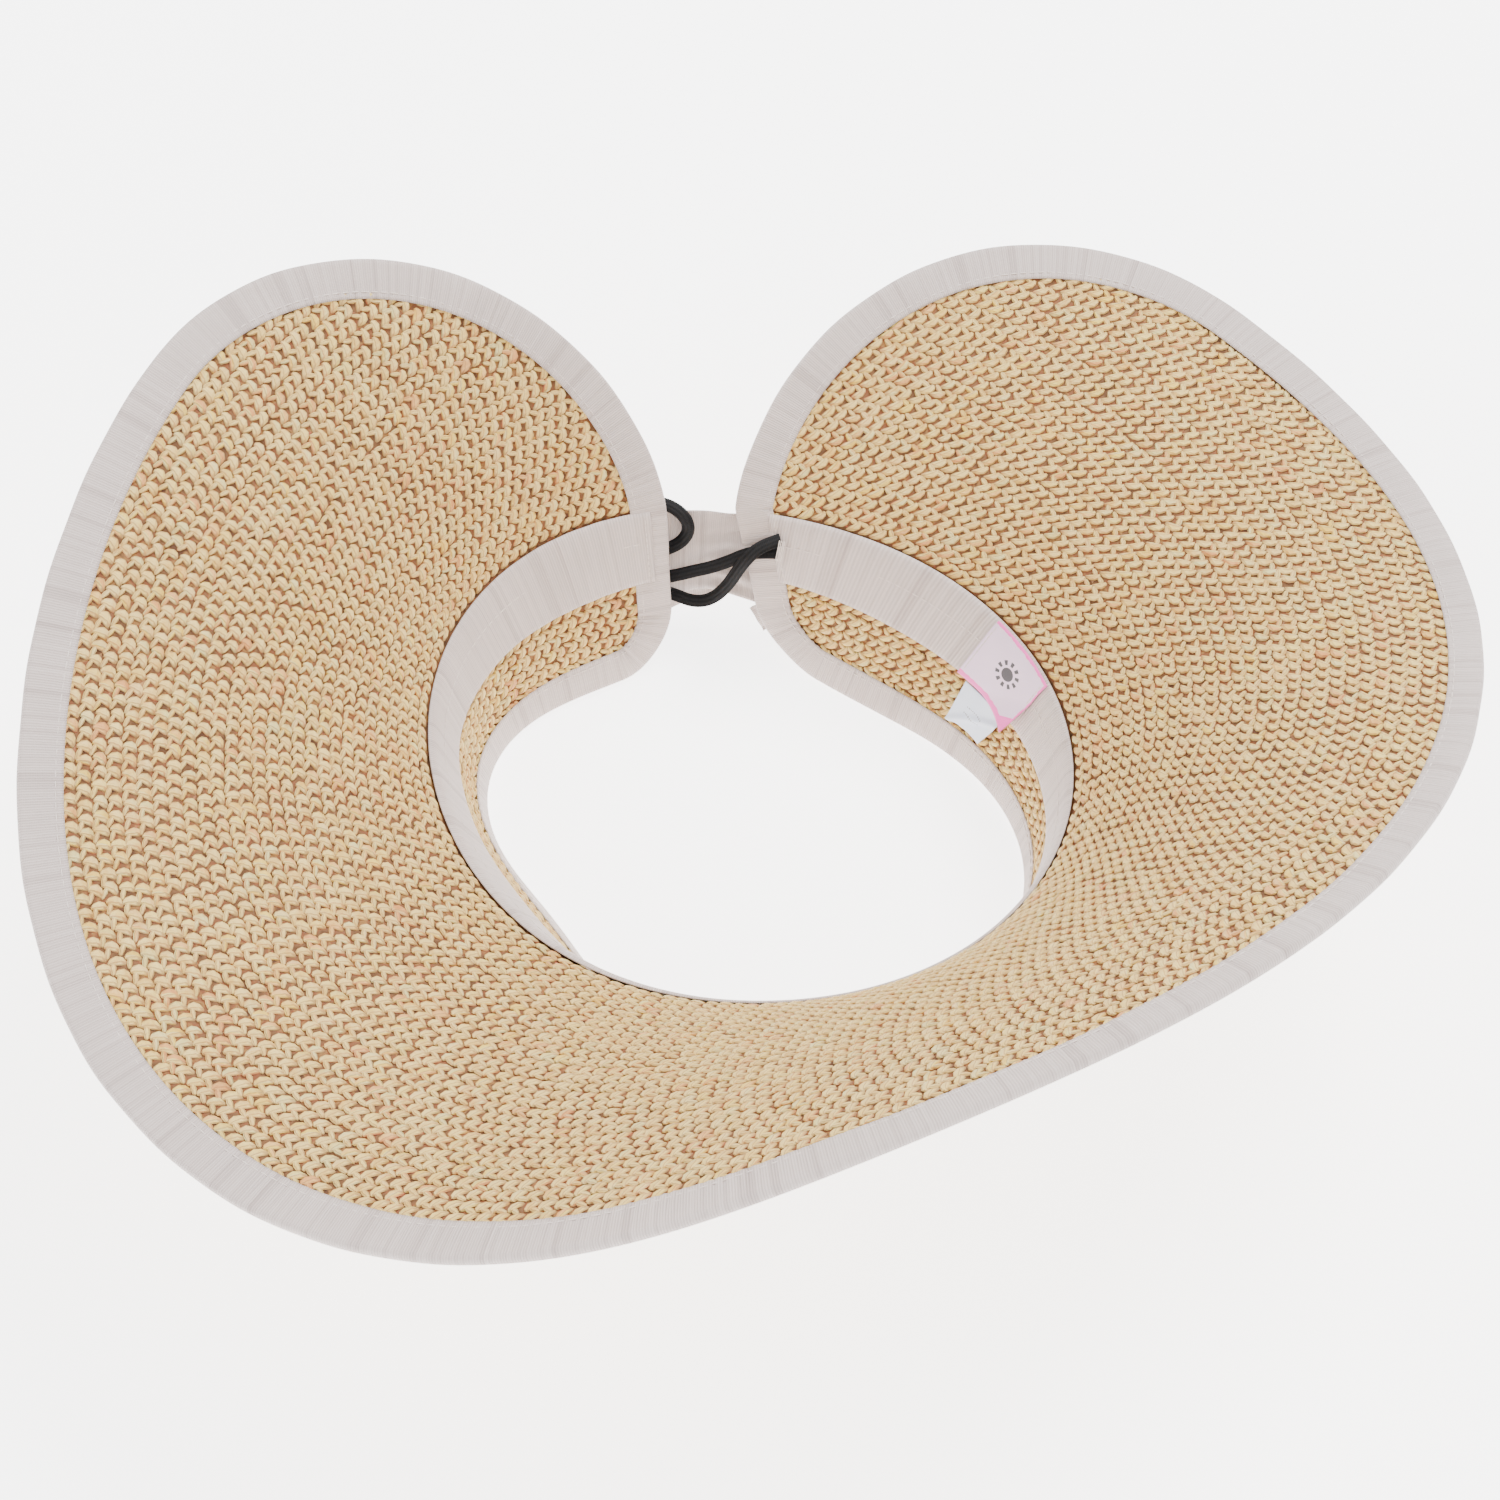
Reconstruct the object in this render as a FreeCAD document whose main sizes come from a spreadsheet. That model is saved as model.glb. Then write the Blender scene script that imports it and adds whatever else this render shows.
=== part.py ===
import FreeCAD, Part
import math
import os
import Sketcher
from FreeCAD import Vector

# A roll-up straw sun visor lying crown-down: +Z up, +Y towards the closure at the back of the
# head, -Y the front of the brim, +X to the right. Millimetres and degrees.
# Places on the straw are given as (angle round the ring, height along the profile, offset):
# angle 0 is the front and grows towards +X, height 0 is the seam of brim and crown (brim above,
# crown below, down to minus the crown's height), and the offset is positive on the side of the
# straw that faces the head.

SIZES = (
    # the seam ring, seen from above: radius as a mean and waves round the head
    ("ring_mean", 91.0), ("ring_front_1", 0.5), ("ring_right_1", 8.5), ("ring_front_2", -6.0),
    ("ring_right_2", 3.5), ("ring_front_3", -0.5), ("ring_right_3", -1.5), ("ring_front_4", -0.5),
    ("ring_right_4", 0.0),
    # height of the seam ring over the crown's free edge
    ("seam_mean", 54.0), ("seam_front_1", 1.5), ("seam_right_1", -0.5), ("seam_front_2", -1.5),
    ("seam_right_2", 1.5), ("seam_front_3", -1.5), ("seam_right_3", 0.5),
    # the crown's free edge, seen from above
    ("crown_mean", 74.5), ("crown_front_1", 9.0), ("crown_right_1", 11.5), ("crown_front_2", -6.5),
    ("crown_right_2", 7.5), ("crown_front_3", -1.5), ("crown_right_3", -0.5), ("crown_front_4", 2.5),
    ("crown_right_4", -4.0),
    # slope of the brim where it leaves the seam, and its change out to the rim, in degrees
    ("slope_mean", 51.0), ("slope_front_1", 5.0), ("slope_right_1", 3.5), ("slope_front_2", 0.0),
    ("slope_right_2", 17.5), ("slope_front_3", 0.5), ("slope_right_3", 0.0),
    ("flare_mean", -29.5), ("flare_front_1", 0.5), ("flare_right_1", 2.0), ("flare_front_2", 10.5),
    ("flare_right_2", -6.0), ("flare_front_3", -1.5), ("flare_right_3", -2.0),
    # how far the brim's lines lean sideways from square to the ring, in degrees
    ("lean_mean", 0.0), ("lean_front_1", -2.0), ("lean_right_1", -17.5), ("lean_front_2", -1.0),
    ("lean_right_2", 9.5),
    # straw panels
    ("brim_width", 126.0), ("crown_height", 57.0), ("straw_thickness", 2.0),
    ("seam_gap", 0.5), ("seam_softness", 6.0),
    # the closure at the back: half gaps at the seam, how the right end slopes, crown corners
    ("gap_left", 11.0), ("gap_right", 12.5), ("end_slope_left", 1.0), ("end_slope_right", 15.0),
    ("crown_corner", 21.0),
    # the brim's rounded lobes: length along the ring and fullness of the curve
    ("lobe_length_left", 147.0), ("lobe_length_right", 142.5), ("lobe_fullness_left", 1.75),
    ("lobe_fullness_right", 1.85),
    # ribbons
    ("ribbon_thickness", 0.5), ("ribbon_clearance", 0.12), ("binding_width", 11.0),
    ("binding_overhang", 0.9), ("binding_butt", 0.3),
    ("sweatband_width", 25.0), ("sweatband_inset_left", 4.5), ("sweatband_inset_right", 9.5),
    ("hatband_width", 38.0), ("hatband_drop", 2.5), ("hatband_inset", 3.0),
    ("bridge_waist", 3.5), ("bridge_tuck", 14.0), ("bridge_belly", 4.5),
    # bow, outside the right end
    ("bow_angle", 165.0), ("bow_height", -28.0), ("knot_width", 13.0), ("knot_length", 20.0),
    ("knot_depth", 8.0), ("knot_round", 3.0),
    ("loop_length", 44.0), ("loop_width", 28.0), ("loop_pinch", 15.0), ("loop_puff", 8.0),
    ("tail_width", 22.0), ("tail_pinch", 11.0), ("tail_thickness", 1.2),
    ("tail_left_start", -4.0), ("tail_left_length", 38.0), ("tail_left_drop", 6.0),
    ("tail_right_start", -2.5), ("tail_right_gap", 4.6), ("tail_right_width", 15.0),
    ("tail_right_reach", 7.0), ("tail_right_length", 6.9),
    ("flap_clearance", 0.6),
    # labels
    ("label_thickness", 0.3), ("brand_angle", 105.3), ("brand_length", 28.0),
    ("brand_width", 25.0), ("care_angle", 105.0), ("care_length", 20.0), ("care_width", 17.0),
    # threads and elastic
    ("thread_size", 0.5), ("binding_stitch_inset", 9.0), ("sweatband_stitch_drop", 10.5),
    ("thread_end_gap", 2.0), ("label_stitch_inset", 1.2), ("elastic_width", 3.3),
    ("tack_width", 2.4), ("tack_length", 8.0), ("tack_thickness", 1.0),
    # the visor's place over its origin
    ("shift_x", -10.0), ("shift_y", 11.1), ("shift_z", 1.6),
)

doc = FreeCAD.newDocument("sun_visor")
sheet = doc.addObject("Spreadsheet::Sheet", "Sizes")
for row, (alias, value) in enumerate(SIZES, start=1):
    sheet.set(f"A{row}", alias)
    sheet.set(f"B{row}", str(value))
    sheet.setAlias(f"B{row}", alias)
doc.recompute()


def size(alias):
    """The value of one named size in the sheet."""
    return float(sheet.get(alias))


SHIFT = Vector(size("shift_x"), size("shift_y"), size("shift_z"))
HALF_STRAW = size("straw_thickness") / 2
BINDING_IN = HALF_STRAW + size("ribbon_clearance")
BINDING_OUT = BINDING_IN + size("ribbon_thickness")
BAND_IN = BINDING_OUT + size("ribbon_clearance")
BAND_OUT = BAND_IN + size("ribbon_thickness")
WIDTH = size("brim_width")
CROWN = size("crown_height")
NAMES = {alias for alias, value in SIZES}


# ---------------------------------------------------------------- the shape of the straw

def waves(curve, angle):
    """A mean and its waves round the head, at an angle in radians."""
    total = size(curve + "_mean")
    for order in range(1, 5):
        if f"{curve}_front_{order}" in NAMES:
            total += size(f"{curve}_front_{order}") * math.cos(order * angle)
            total += size(f"{curve}_right_{order}") * math.sin(order * angle)
    return total


def seam_point(angle):
    radius = waves("ring", angle)
    return Vector(radius * math.sin(angle), -radius * math.cos(angle), waves("seam", angle))


def crown_edge_point(angle):
    radius = waves("crown", angle)
    return Vector(radius * math.sin(angle), -radius * math.cos(angle), 0)


GAUSS = ((-0.8611363116, 0.3478548451), (-0.3399810436, 0.6521451549),
         (0.3399810436, 0.6521451549), (0.8611363116, 0.3478548451))


def brim_profile(angle):
    """Seam point, outward direction, root slope and flare at one angle."""
    step = 1e-3
    along = seam_point(angle + step) - seam_point(angle - step)
    outward = Vector(along.y, -along.x, 0).normalize()
    lean = math.radians(waves("lean", angle))
    outward = Vector(outward.x * math.cos(lean) - outward.y * math.sin(lean),
                     outward.x * math.sin(lean) + outward.y * math.cos(lean), 0)
    slope = math.radians(waves("slope", angle))
    flare = math.radians(waves("flare", angle))
    return seam_point(angle), outward, slope, flare


PROFILES = {}


def creased_point(angle, height):
    """A point of the straw's middle surface, with a sharp crease at the seam."""
    key = round(angle, 7)
    if key not in PROFILES:
        PROFILES[key] = brim_profile(angle) + (crown_edge_point(angle),)
    seam, outward, slope, flare, edge = PROFILES[key]
    if height < 0:
        return seam + (edge - seam) * (-height / CROWN)
    run, rise = 0.0, 0.0
    for node, weight in GAUSS:
        turn = slope + flare * height * (node + 1) / 2 / WIDTH
        run += weight / 2 * height * math.cos(turn)
        rise += weight / 2 * height * math.sin(turn)
    return seam + outward * run + Vector(0, 0, rise)


def middle(angle, height):
    """A point of the straw's middle surface, with the seam rounded."""
    soft = size("seam_softness")
    if abs(height) >= soft:
        return creased_point(angle, height)
    part = (height + soft) / (2 * soft)
    low, high = creased_point(angle, -soft), creased_point(angle, soft)
    return low * (1 - part) ** 2 + creased_point(angle, 0) * (2 * part * (1 - part)) + high * part ** 2


def directions(angle, height):
    """Change of the surface per radian and per millimetre, and its normal towards the head."""
    round_step, up_step = 2e-3, 0.1
    per_angle = (middle(angle + round_step, height) - middle(angle - round_step, height))
    per_angle = per_angle * (0.5 / round_step)
    per_height = (middle(angle, height + up_step) - middle(angle, height - up_step))
    per_height = per_height * (0.5 / up_step)
    return per_angle, per_height, per_height.cross(per_angle).normalize()


def straw(angle, height, offset=0.0):
    """A point at an offset from the straw's middle surface, in the part's frame."""
    point = middle(angle, height)
    if offset:
        point = point + directions(angle, height)[2] * offset
    return point + SHIFT


def arc_angle(length, height=0.0):
    """The angle that a length along the ring takes, near a height on the profile."""
    radius = waves("ring", math.pi) + (0.9 * height if height > 0 else 0.25 * height)
    return length / radius


# ---------------------------------------------------------------- the outline

def end_inset(side, height):
    """How far the crown's end lies from the seam's end, along the ring."""
    corner = size("crown_corner")
    inset = size("end_slope_" + side) * -height / CROWN
    into = (-height - (CROWN - corner)) / corner
    if into > 0:
        inset += corner * (1 - math.sqrt(max(0.0, 1 - into * into)))
    return inset


def end_angle(side, height):
    """The angle of the straw's raw edge at the closure, for a height on the crown."""
    gap = arc_angle(size("gap_" + side))
    inset = end_inset(side, height)
    turn = math.pi - gap - arc_angle(inset, height)
    return -turn if side == "left" else turn


def lobe(side, count):
    """Outline of one lobe, from the seam up to the brim's full width."""
    length = size("lobe_length_" + side)
    power = 2 / size("lobe_fullness_" + side)
    gap = arc_angle(size("gap_" + side))
    points = []
    for index in range(count + 1):
        turn = index / count * math.pi / 2
        height = WIDTH * math.sin(turn) ** power
        inset = length * (1 - math.cos(turn) ** power if index < count else 1)
        angle = math.pi - gap - arc_angle(inset, height)
        points.append((-angle if side == "left" else angle, height))
    return points


def crown_end(side, count):
    """Outline of one crown end, from the free edge's corner up to the seam."""
    points = []
    corner = size("crown_corner")
    for index in range(count + 1):
        turn = index / count * math.pi / 2
        height = -CROWN + corner * (1 - math.cos(turn))
        inset = size("end_slope_" + side) * -height / CROWN + corner * (1 - math.sin(turn))
        angle = math.pi - arc_angle(size("gap_" + side)) - arc_angle(inset, height)
        points.append((-angle if side == "left" else angle, height))
    straight = CROWN - corner
    for index in range(1, count + 1):
        height = -straight * (1 - index / count)
        points.append((end_angle(side, height), height))
    return points


def between(start, end, count, height):
    """Angles from start to end at one height, both ends left out."""
    return [(start + (end - start) * index / count, height) for index in range(1, count)]


def evened(path, count):
    """The same path with its points an even distance apart on the straw."""
    places = [middle(*point) for point in path]
    run = [0.0]
    for first, second in zip(places, places[1:]):
        run.append(run[-1] + (second - first).Length)
    result, index = [], 0
    for number in range(count + 1):
        target = run[-1] * number / count
        while index < len(run) - 2 and run[index + 1] < target:
            index += 1
        part = (target - run[index]) / (run[index + 1] - run[index])
        (angle_a, height_a), (angle_b, height_b) = path[index], path[index + 1]
        result.append((angle_a + (angle_b - angle_a) * part, height_a + (height_b - height_a) * part))
    return result


def brim_outline():
    """Seam's left end, round the whole brim, to the seam's right end."""
    left, right = lobe("left", 40), lobe("right", 40)
    return left + between(left[-1][0], right[-1][0], 160, WIDTH) + right[::-1]


def crown_outline():
    """Seam's left end, down and along the crown's free edge, up to the seam's right end."""
    left, right = crown_end("left", 16), crown_end("right", 16)
    return left[::-1] + between(left[0][0], right[0][0], 120, -CROWN) + right


# ---------------------------------------------------------------- solids from grids and sections

def skin(rows):
    surface = Part.BSplineSurface()
    surface.interpolate(rows)
    return surface


def closed_solid(faces):
    shell = Part.makeShell(faces)
    shell.sewShape()
    solid = Part.makeSolid(Part.Shell(shell.Faces))
    if solid.Volume < 0:
        solid.reverse()
    return solid


def slab(outer_rows, inner_rows):
    """A solid between two grids of points with the same numbers of rows and columns."""
    outer, inner = skin(outer_rows), skin(inner_rows)
    faces = [outer.toShape(), inner.toShape()]
    first_u, last_u, first_v, last_v = outer.bounds()
    start_u, end_u, start_v, end_v = inner.bounds()
    rims = ((outer.uIso(first_u), inner.uIso(start_u)), (outer.uIso(last_u), inner.uIso(end_u)),
            (outer.vIso(first_v), inner.vIso(start_v)), (outer.vIso(last_v), inner.vIso(end_v)))
    for upper, lower in rims:
        faces.append(Part.makeRuledSurface(upper.toShape(), lower.toShape()))
    return closed_solid(faces)


def sheet_slab(place, columns, rows, near, far):
    """A slab over place(s, t) -> (angle, height), from offset near to offset far."""
    grids = []
    for offset in (near, far):
        grid = []
        for column in range(columns + 1):
            line = []
            for row in range(rows + 1):
                angle, height = place(column / columns, row / rows)
                line.append(straw(angle, height, offset(column / columns, row / rows)
                                  if callable(offset) else offset))
            grid.append(line)
        grids.append(grid)
    return slab(*grids)


def flattened(section, neighbour):
    """The section with its corners moved into one plane, square to the way the band runs."""
    centre = sum(section, Vector()) / len(section)
    along = (sum(neighbour, Vector()) / len(neighbour) - centre).normalize()
    return [corner - along * (corner - centre).dot(along) for corner in section]


def swept_band(sections):
    """A solid through closed polygons of the same number of corners, with flat ends."""
    sections = list(sections)
    sections[0] = flattened(sections[0], sections[1])
    sections[-1] = flattened(sections[-1], sections[-2])
    corners = len(sections[0])
    edges = []
    for corner in range(corners):
        curve = Part.BSplineCurve()
        curve.interpolate([section[corner] for section in sections])
        edges.append(curve.toShape())
    faces = [Part.makeRuledSurface(edges[corner], edges[(corner + 1) % corners])
             for corner in range(corners)]
    for section in (sections[0], sections[-1]):
        faces.append(Part.Face(Part.makePolygon(section + section[:1])))
    return closed_solid(faces)


def feature(label, shape):
    piece = doc.addObject("Part::Feature", label)
    piece.Label = label
    piece.Shape = shape
    return piece


# ---------------------------------------------------------------- straw panels

def patch(seam_path, outline, corner_height):
    """A four-sided patch over the region between the seam and an outline."""
    heights = [abs(height) for angle, height in outline]
    first = next(i for i, height in enumerate(heights) if height >= corner_height)
    last = len(heights) - 1 - next(i for i, height in enumerate(reversed(heights))
                                   if height >= corner_height)
    left, top, right = outline[:first + 1], outline[first:last + 1], outline[last:][::-1]
    left, top, right = evened(left, 60), evened(top, 240), evened(right, 60)

    def at(path, part):
        spot = part * (len(path) - 1)
        index = min(int(spot), len(path) - 2)
        rest = spot - index
        return [a + (b - a) * rest for a, b in zip(path[index], path[index + 1])]

    def place(s, t):
        low, high, side_a, side_b = at(seam_path, s), at(top, s), at(left, t), at(right, t)
        result = []
        for k in (0, 1):
            blend = (1 - t) * low[k] + t * high[k] + (1 - s) * side_a[k] + s * side_b[k]
            blend -= ((1 - s) * (1 - t) * left[0][k] + s * (1 - t) * right[0][k]
                      + (1 - s) * t * left[-1][k] + s * t * right[-1][k])
            result.append(blend)
        return result
    return place


half_gap = size("seam_gap") / 2
outline_brim = [(angle, max(height, half_gap)) for angle, height in brim_outline()]
outline_crown = [(angle, min(height, -half_gap)) for angle, height in crown_outline()]
seam_ends = (outline_brim[0][0], outline_brim[-1][0])
brim_seam = [(seam_ends[0], half_gap)] + between(*seam_ends, 60, half_gap) + [(seam_ends[1], half_gap)]
crown_seam = [(angle, -height) for angle, height in brim_seam]

brim_place = patch(brim_seam, outline_brim, 0.55 * WIDTH)
feature("brim_panel", sheet_slab(brim_place, 56, 14, HALF_STRAW, -HALF_STRAW))
crown_place = patch(crown_seam, outline_crown, CROWN - 0.35 * size("crown_corner"))
feature("crown_panel", sheet_slab(crown_place, 56, 8, HALF_STRAW, -HALF_STRAW))


# ---------------------------------------------------------------- binding round the raw edge

def inward_path(path, distance):
    """Points of the straw at a distance inside each point of a path round its raw edge."""
    result = []
    for index, (angle, height) in enumerate(path):
        before, after = path[max(index - 1, 0)], path[min(index + 1, len(path) - 1)]
        along = middle(*after) - middle(*before)
        spot = (angle, height)
        steps = 4
        for step in range(steps):
            per_angle, per_height, normal = directions(*spot)
            inward = normal.cross(along).normalize() * (distance / steps)
            aa, ah, hh = per_angle.dot(per_angle), per_angle.dot(per_height), per_height.dot(per_height)
            da, dh = inward.dot(per_angle), inward.dot(per_height)
            under = aa * hh - ah * ah
            spot = (spot[0] + (da * hh - dh * ah) / under, spot[1] + (dh * aa - da * ah) / under)
        result.append(spot)
    return result


def perimeter(count):
    """The whole raw edge, clockwise from the middle of the crown's free edge."""
    crown = crown_outline()
    middle_index = len(crown) // 2
    path = crown[middle_index::-1] + brim_outline()[1:-1] + crown[:middle_index - 1:-1]
    return evened(path, count)


LEG_SPANS = 3


def edge_sections(path, depth, legs):
    """U-shaped sections that hug the straw: legs is (inner, outer) half thickness."""
    rows = [inward_path(path, depth * span / LEG_SPANS) for span in range(LEG_SPANS, 0, -1)]
    rows.append(path)
    overhang = size("binding_overhang")
    reaches = (overhang - size("ribbon_thickness"), overhang)
    sections = []
    for spots in zip(*rows):
        outward = (straw(*spots[-1]) - straw(*spots[-2])).normalize()
        faces = []
        for half, reach in zip(legs, reaches):
            for side in (1, -1):
                face = [straw(*spot, side * half) for spot in spots]
                face[-1] = face[-1] + outward * reach
                faces.append(face)
        upper_in, lower_in, upper_out, lower_out = faces
        sections.append(upper_out + lower_out[::-1] + lower_in + upper_in[::-1])
    return sections


edge_path = perimeter(280)
first, second = edge_path[:2]
share = size("binding_butt") / (middle(*second) - middle(*first)).Length
edge_path[0] = tuple(a + (b - a) * share for a, b in zip(first, second))
feature("edge_binding", swept_band(edge_sections(edge_path, size("binding_width"),
                                                 (BINDING_IN, BINDING_OUT))))


# ---------------------------------------------------------------- ribbons inside and outside

def band_place(low, high, inset_left, inset_right):
    """A strip of the crown between two heights, ending at insets from the two ends."""
    def place(s, t):
        height = low + (high - low) * t
        start = end_angle("left", height) + arc_angle(inset_left, height)
        end = end_angle("right", height) - arc_angle(inset_right, height)
        return start + (end - start) * s, height
    return place


sweat_place = band_place(-size("sweatband_width"), 0, size("sweatband_inset_left"),
                         size("sweatband_inset_right"))
feature("sweatband", sheet_slab(sweat_place, 60, 6, BAND_IN, BAND_OUT))
hat_low = -size("hatband_drop") - size("hatband_width")
hat_place = band_place(hat_low, -size("hatband_drop"), size("hatband_inset"), size("hatband_inset"))
feature("hatband", sheet_slab(hat_place, 60, 6, -BAND_IN, -BAND_OUT))

BRIDGE_IN = BAND_OUT + size("ribbon_clearance")
BRIDGE_OUT = BRIDGE_IN + size("ribbon_thickness")


def bridge_place(s, t):
    """The ribbon over the gap: full height at its ends, drawn in to a waist between them."""
    tuck = arc_angle(size("bridge_tuck"))
    middle_height = hat_low / 2 - size("hatband_drop") / 2
    start, end = end_angle("right", middle_height) - tuck, end_angle("left", middle_height) + tuck
    end += 2 * math.pi
    waist = 1 - size("bridge_waist") / size("hatband_width") * 2 * math.sin(math.pi * s) ** 2
    height = middle_height + (t - 0.5) * size("hatband_width") * waist
    return start + (end - start) * s, height


def bridge_offset(base):
    """The bridge swells outwards over the gap, where nothing backs it."""
    return lambda s, t: -base - size("bridge_belly") * math.sin(math.pi * s) ** 2


feature("bow_bridge", sheet_slab(bridge_place, 20, 6, bridge_offset(BRIDGE_IN),
                                 bridge_offset(BRIDGE_OUT)))


# ---------------------------------------------------------------- bow

BOW_ANGLE = math.radians(size("bow_angle"))
BOW_HEIGHT = size("bow_height")
FLAP_IN = BRIDGE_OUT + size("bridge_belly") + size("flap_clearance")
LOOP_IN = FLAP_IN + size("tail_thickness") + size("flap_clearance")
KNOT_HALF = size("knot_width") / 2


def bow_frame(offset):
    """A placement on the crown's outer face: X along the ring, Y up the crown, Z outwards."""
    per_angle, per_height, normal = directions(BOW_ANGLE, BOW_HEIGHT)
    outward = normal * -1
    up = per_height.normalize()
    along = up.cross(outward)
    turn = FreeCAD.Rotation(along, up, outward, "ZXY")
    return FreeCAD.Placement(straw(BOW_ANGLE, BOW_HEIGHT, -offset), turn)


def origin_plane(body, role):
    return next(item for item in body.Origin.OriginFeatures if item.Role == role)


knot = doc.addObject("PartDesign::Body", "bow_knot")
knot.Label = "bow_knot"
outline = knot.newObject("Sketcher::SketchObject", "KnotOutline")
outline.AttachmentSupport = [(origin_plane(knot, "XY_Plane"), "")]
outline.MapMode = "FlatFace"
half_x, half_y = size("knot_width") / 2, size("knot_length") / 2
corners = [Vector(-half_x, -half_y), Vector(half_x, -half_y), Vector(half_x, half_y),
           Vector(-half_x, half_y)]
for index in range(4):
    outline.addGeometry(Part.LineSegment(corners[index], corners[(index + 1) % 4]))
for index in range(4):
    outline.addConstraint(Sketcher.Constraint("Coincident", index, 2, (index + 1) % 4, 1))
for index in (0, 2):
    outline.addConstraint(Sketcher.Constraint("Horizontal", index))
for index in (1, 3):
    outline.addConstraint(Sketcher.Constraint("Vertical", index))
outline.addConstraint(Sketcher.Constraint("Symmetric", 0, 1, 2, 1, -1, 1))
width_limit = outline.addConstraint(Sketcher.Constraint("DistanceX", 0, 1, 0, 2, 2 * half_x))
length_limit = outline.addConstraint(Sketcher.Constraint("DistanceY", 1, 1, 1, 2, 2 * half_y))
outline.setExpression(f"Constraints[{width_limit}]", "Sizes.knot_width")
outline.setExpression(f"Constraints[{length_limit}]", "Sizes.knot_length")
pad = knot.newObject("PartDesign::Pad", "KnotDepth")
pad.Profile = outline
pad.setExpression("Length", "Sizes.knot_depth")
doc.recompute()
rounding = knot.newObject("PartDesign::Fillet", "KnotRounding")
rounding.Base = (pad, ["Face6"])
rounding.setExpression("Radius", "Sizes.knot_round")
knot.Placement = bow_frame(BRIDGE_OUT + size("bridge_belly"))


def loop_slab(direction):
    """One bow loop: pinched at the knot, full in the middle, rounded at its far end."""
    start = KNOT_HALF + size("flap_clearance")
    length, pinch, wide = size("loop_length"), size("loop_pinch"), size("loop_width")

    def place(s, t):
        spread = pinch + (wide - pinch) * math.sin(min(1.0, 1.35 * s) * math.pi / 2)
        rounded = math.sqrt(max(0.0, 1 - max(0.0, s - 0.75) ** 2 / 0.25 ** 2 * 0.45))
        height = BOW_HEIGHT + (t - 0.5) * spread * rounded
        return BOW_ANGLE + direction * arc_angle(start + length * s, BOW_HEIGHT), height

    def outer(s, t):
        puff = 0.45 + 0.55 * math.sin(math.pi * min(1.0, 0.12 + 0.8 * s))
        across = 0.6 + 0.4 * math.sin(math.pi * t)
        return -(LOOP_IN + size("loop_puff") * puff * across)
    return sheet_slab(place, 12, 8, -LOOP_IN, outer)


feature("bow_loop_left", loop_slab(1))
feature("bow_loop_right", loop_slab(-1))


def tail_slab(start, end, width):
    """One bow tail between two places (along the ring, up) from the bow's middle."""
    run = (end[0] - start[0], end[1] - start[1])
    length = math.hypot(*run)

    def place(s, t):
        spread = size("tail_pinch") + (width - size("tail_pinch")) * s
        beside = (t - 0.5) * spread / length
        along = start[0] + run[0] * s - run[1] * beside
        level = start[1] + run[1] * s + run[0] * beside
        return BOW_ANGLE + arc_angle(along, BOW_HEIGHT), BOW_HEIGHT + level
    return sheet_slab(place, 12, 6, -FLAP_IN, -FLAP_IN - size("tail_thickness"))


# the left tail lies under the left loop, the right one hangs slanting from below the knot
beside_knot = (KNOT_HALF + size("flap_clearance"), size("tail_left_start"))
left_end = (beside_knot[0] + size("tail_left_length"), beside_knot[1] - size("tail_left_drop"))
feature("bow_tail_left", tail_slab(beside_knot, left_end, size("tail_width")))
below_knot = (size("tail_right_start"), -size("knot_length") / 2 - size("tail_right_gap"))
right_end = (below_knot[0] - size("tail_right_reach"), below_knot[1] - size("tail_right_length"))
feature("bow_tail_right", tail_slab(below_knot, right_end, size("tail_right_width")))


# ---------------------------------------------------------------- labels

THREAD = size("thread_size")
THREAD_GAP = size("ribbon_clearance")
LABEL_IN = BAND_OUT + THREAD + 2 * THREAD_GAP
LABEL_OUT = LABEL_IN + size("label_thickness")
BRAND_ANGLE = math.radians(size("brand_angle"))
CARE_ANGLE = math.radians(size("care_angle"))


def label_place(centre, top, length, width, taper):
    """A label on the inside of the band: its length runs along the ring."""
    radius = waves("ring", centre)

    def place(s, t):
        along = (s - 0.5) * length * (1 - taper * (1 - t))
        return centre + along / radius, top - width * (1 - t)
    return place


brand_place = label_place(BRAND_ANGLE, 0, size("brand_length"), size("brand_width"), 0.0)
feature("brand_label", sheet_slab(brand_place, 8, 6, LABEL_IN, LABEL_OUT))
care_top = -size("brand_width") - size("flap_clearance")
care_place = label_place(CARE_ANGLE, care_top, size("care_length"), size("care_width"), 0.25)
feature("care_label", sheet_slab(care_place, 6, 6, LABEL_IN, LABEL_OUT))


# ---------------------------------------------------------------- sewing threads

def thread_along(path, offset):
    """A thread of square section that lies on the face at an offset, along a path."""
    sections = []
    half = THREAD / 2
    for index, spot in enumerate(path):
        before, after = path[max(index - 1, 0)], path[min(index + 1, len(path) - 1)]
        along = (middle(*after) - middle(*before)).normalize()
        normal = directions(*spot)[2]
        across = normal.cross(along)
        base = straw(*spot, offset + math.copysign(half, offset))
        sections.append([base + normal * half + across * half, base - normal * half + across * half,
                         base - normal * half - across * half, base + normal * half - across * half])
    return swept_band(sections)


row_path = inward_path(edge_path, size("binding_stitch_inset"))
clear = size("thread_end_gap")
brim_row = [spot for spot in row_path if spot[1] > clear]
first_brim = row_path.index(brim_row[0])
last_brim = row_path.index(brim_row[-1])
band_foot = -size("sweatband_width") - clear
left_row = [spot for spot in row_path[:first_brim] if spot[1] < band_foot]
right_row = [spot for spot in row_path[last_brim:] if spot[1] < band_foot]
face = BINDING_OUT + THREAD_GAP
feature("brim_binding_thread", thread_along(brim_row, face))
feature("crown_binding_thread", thread_along(right_row + left_row, face))


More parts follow.
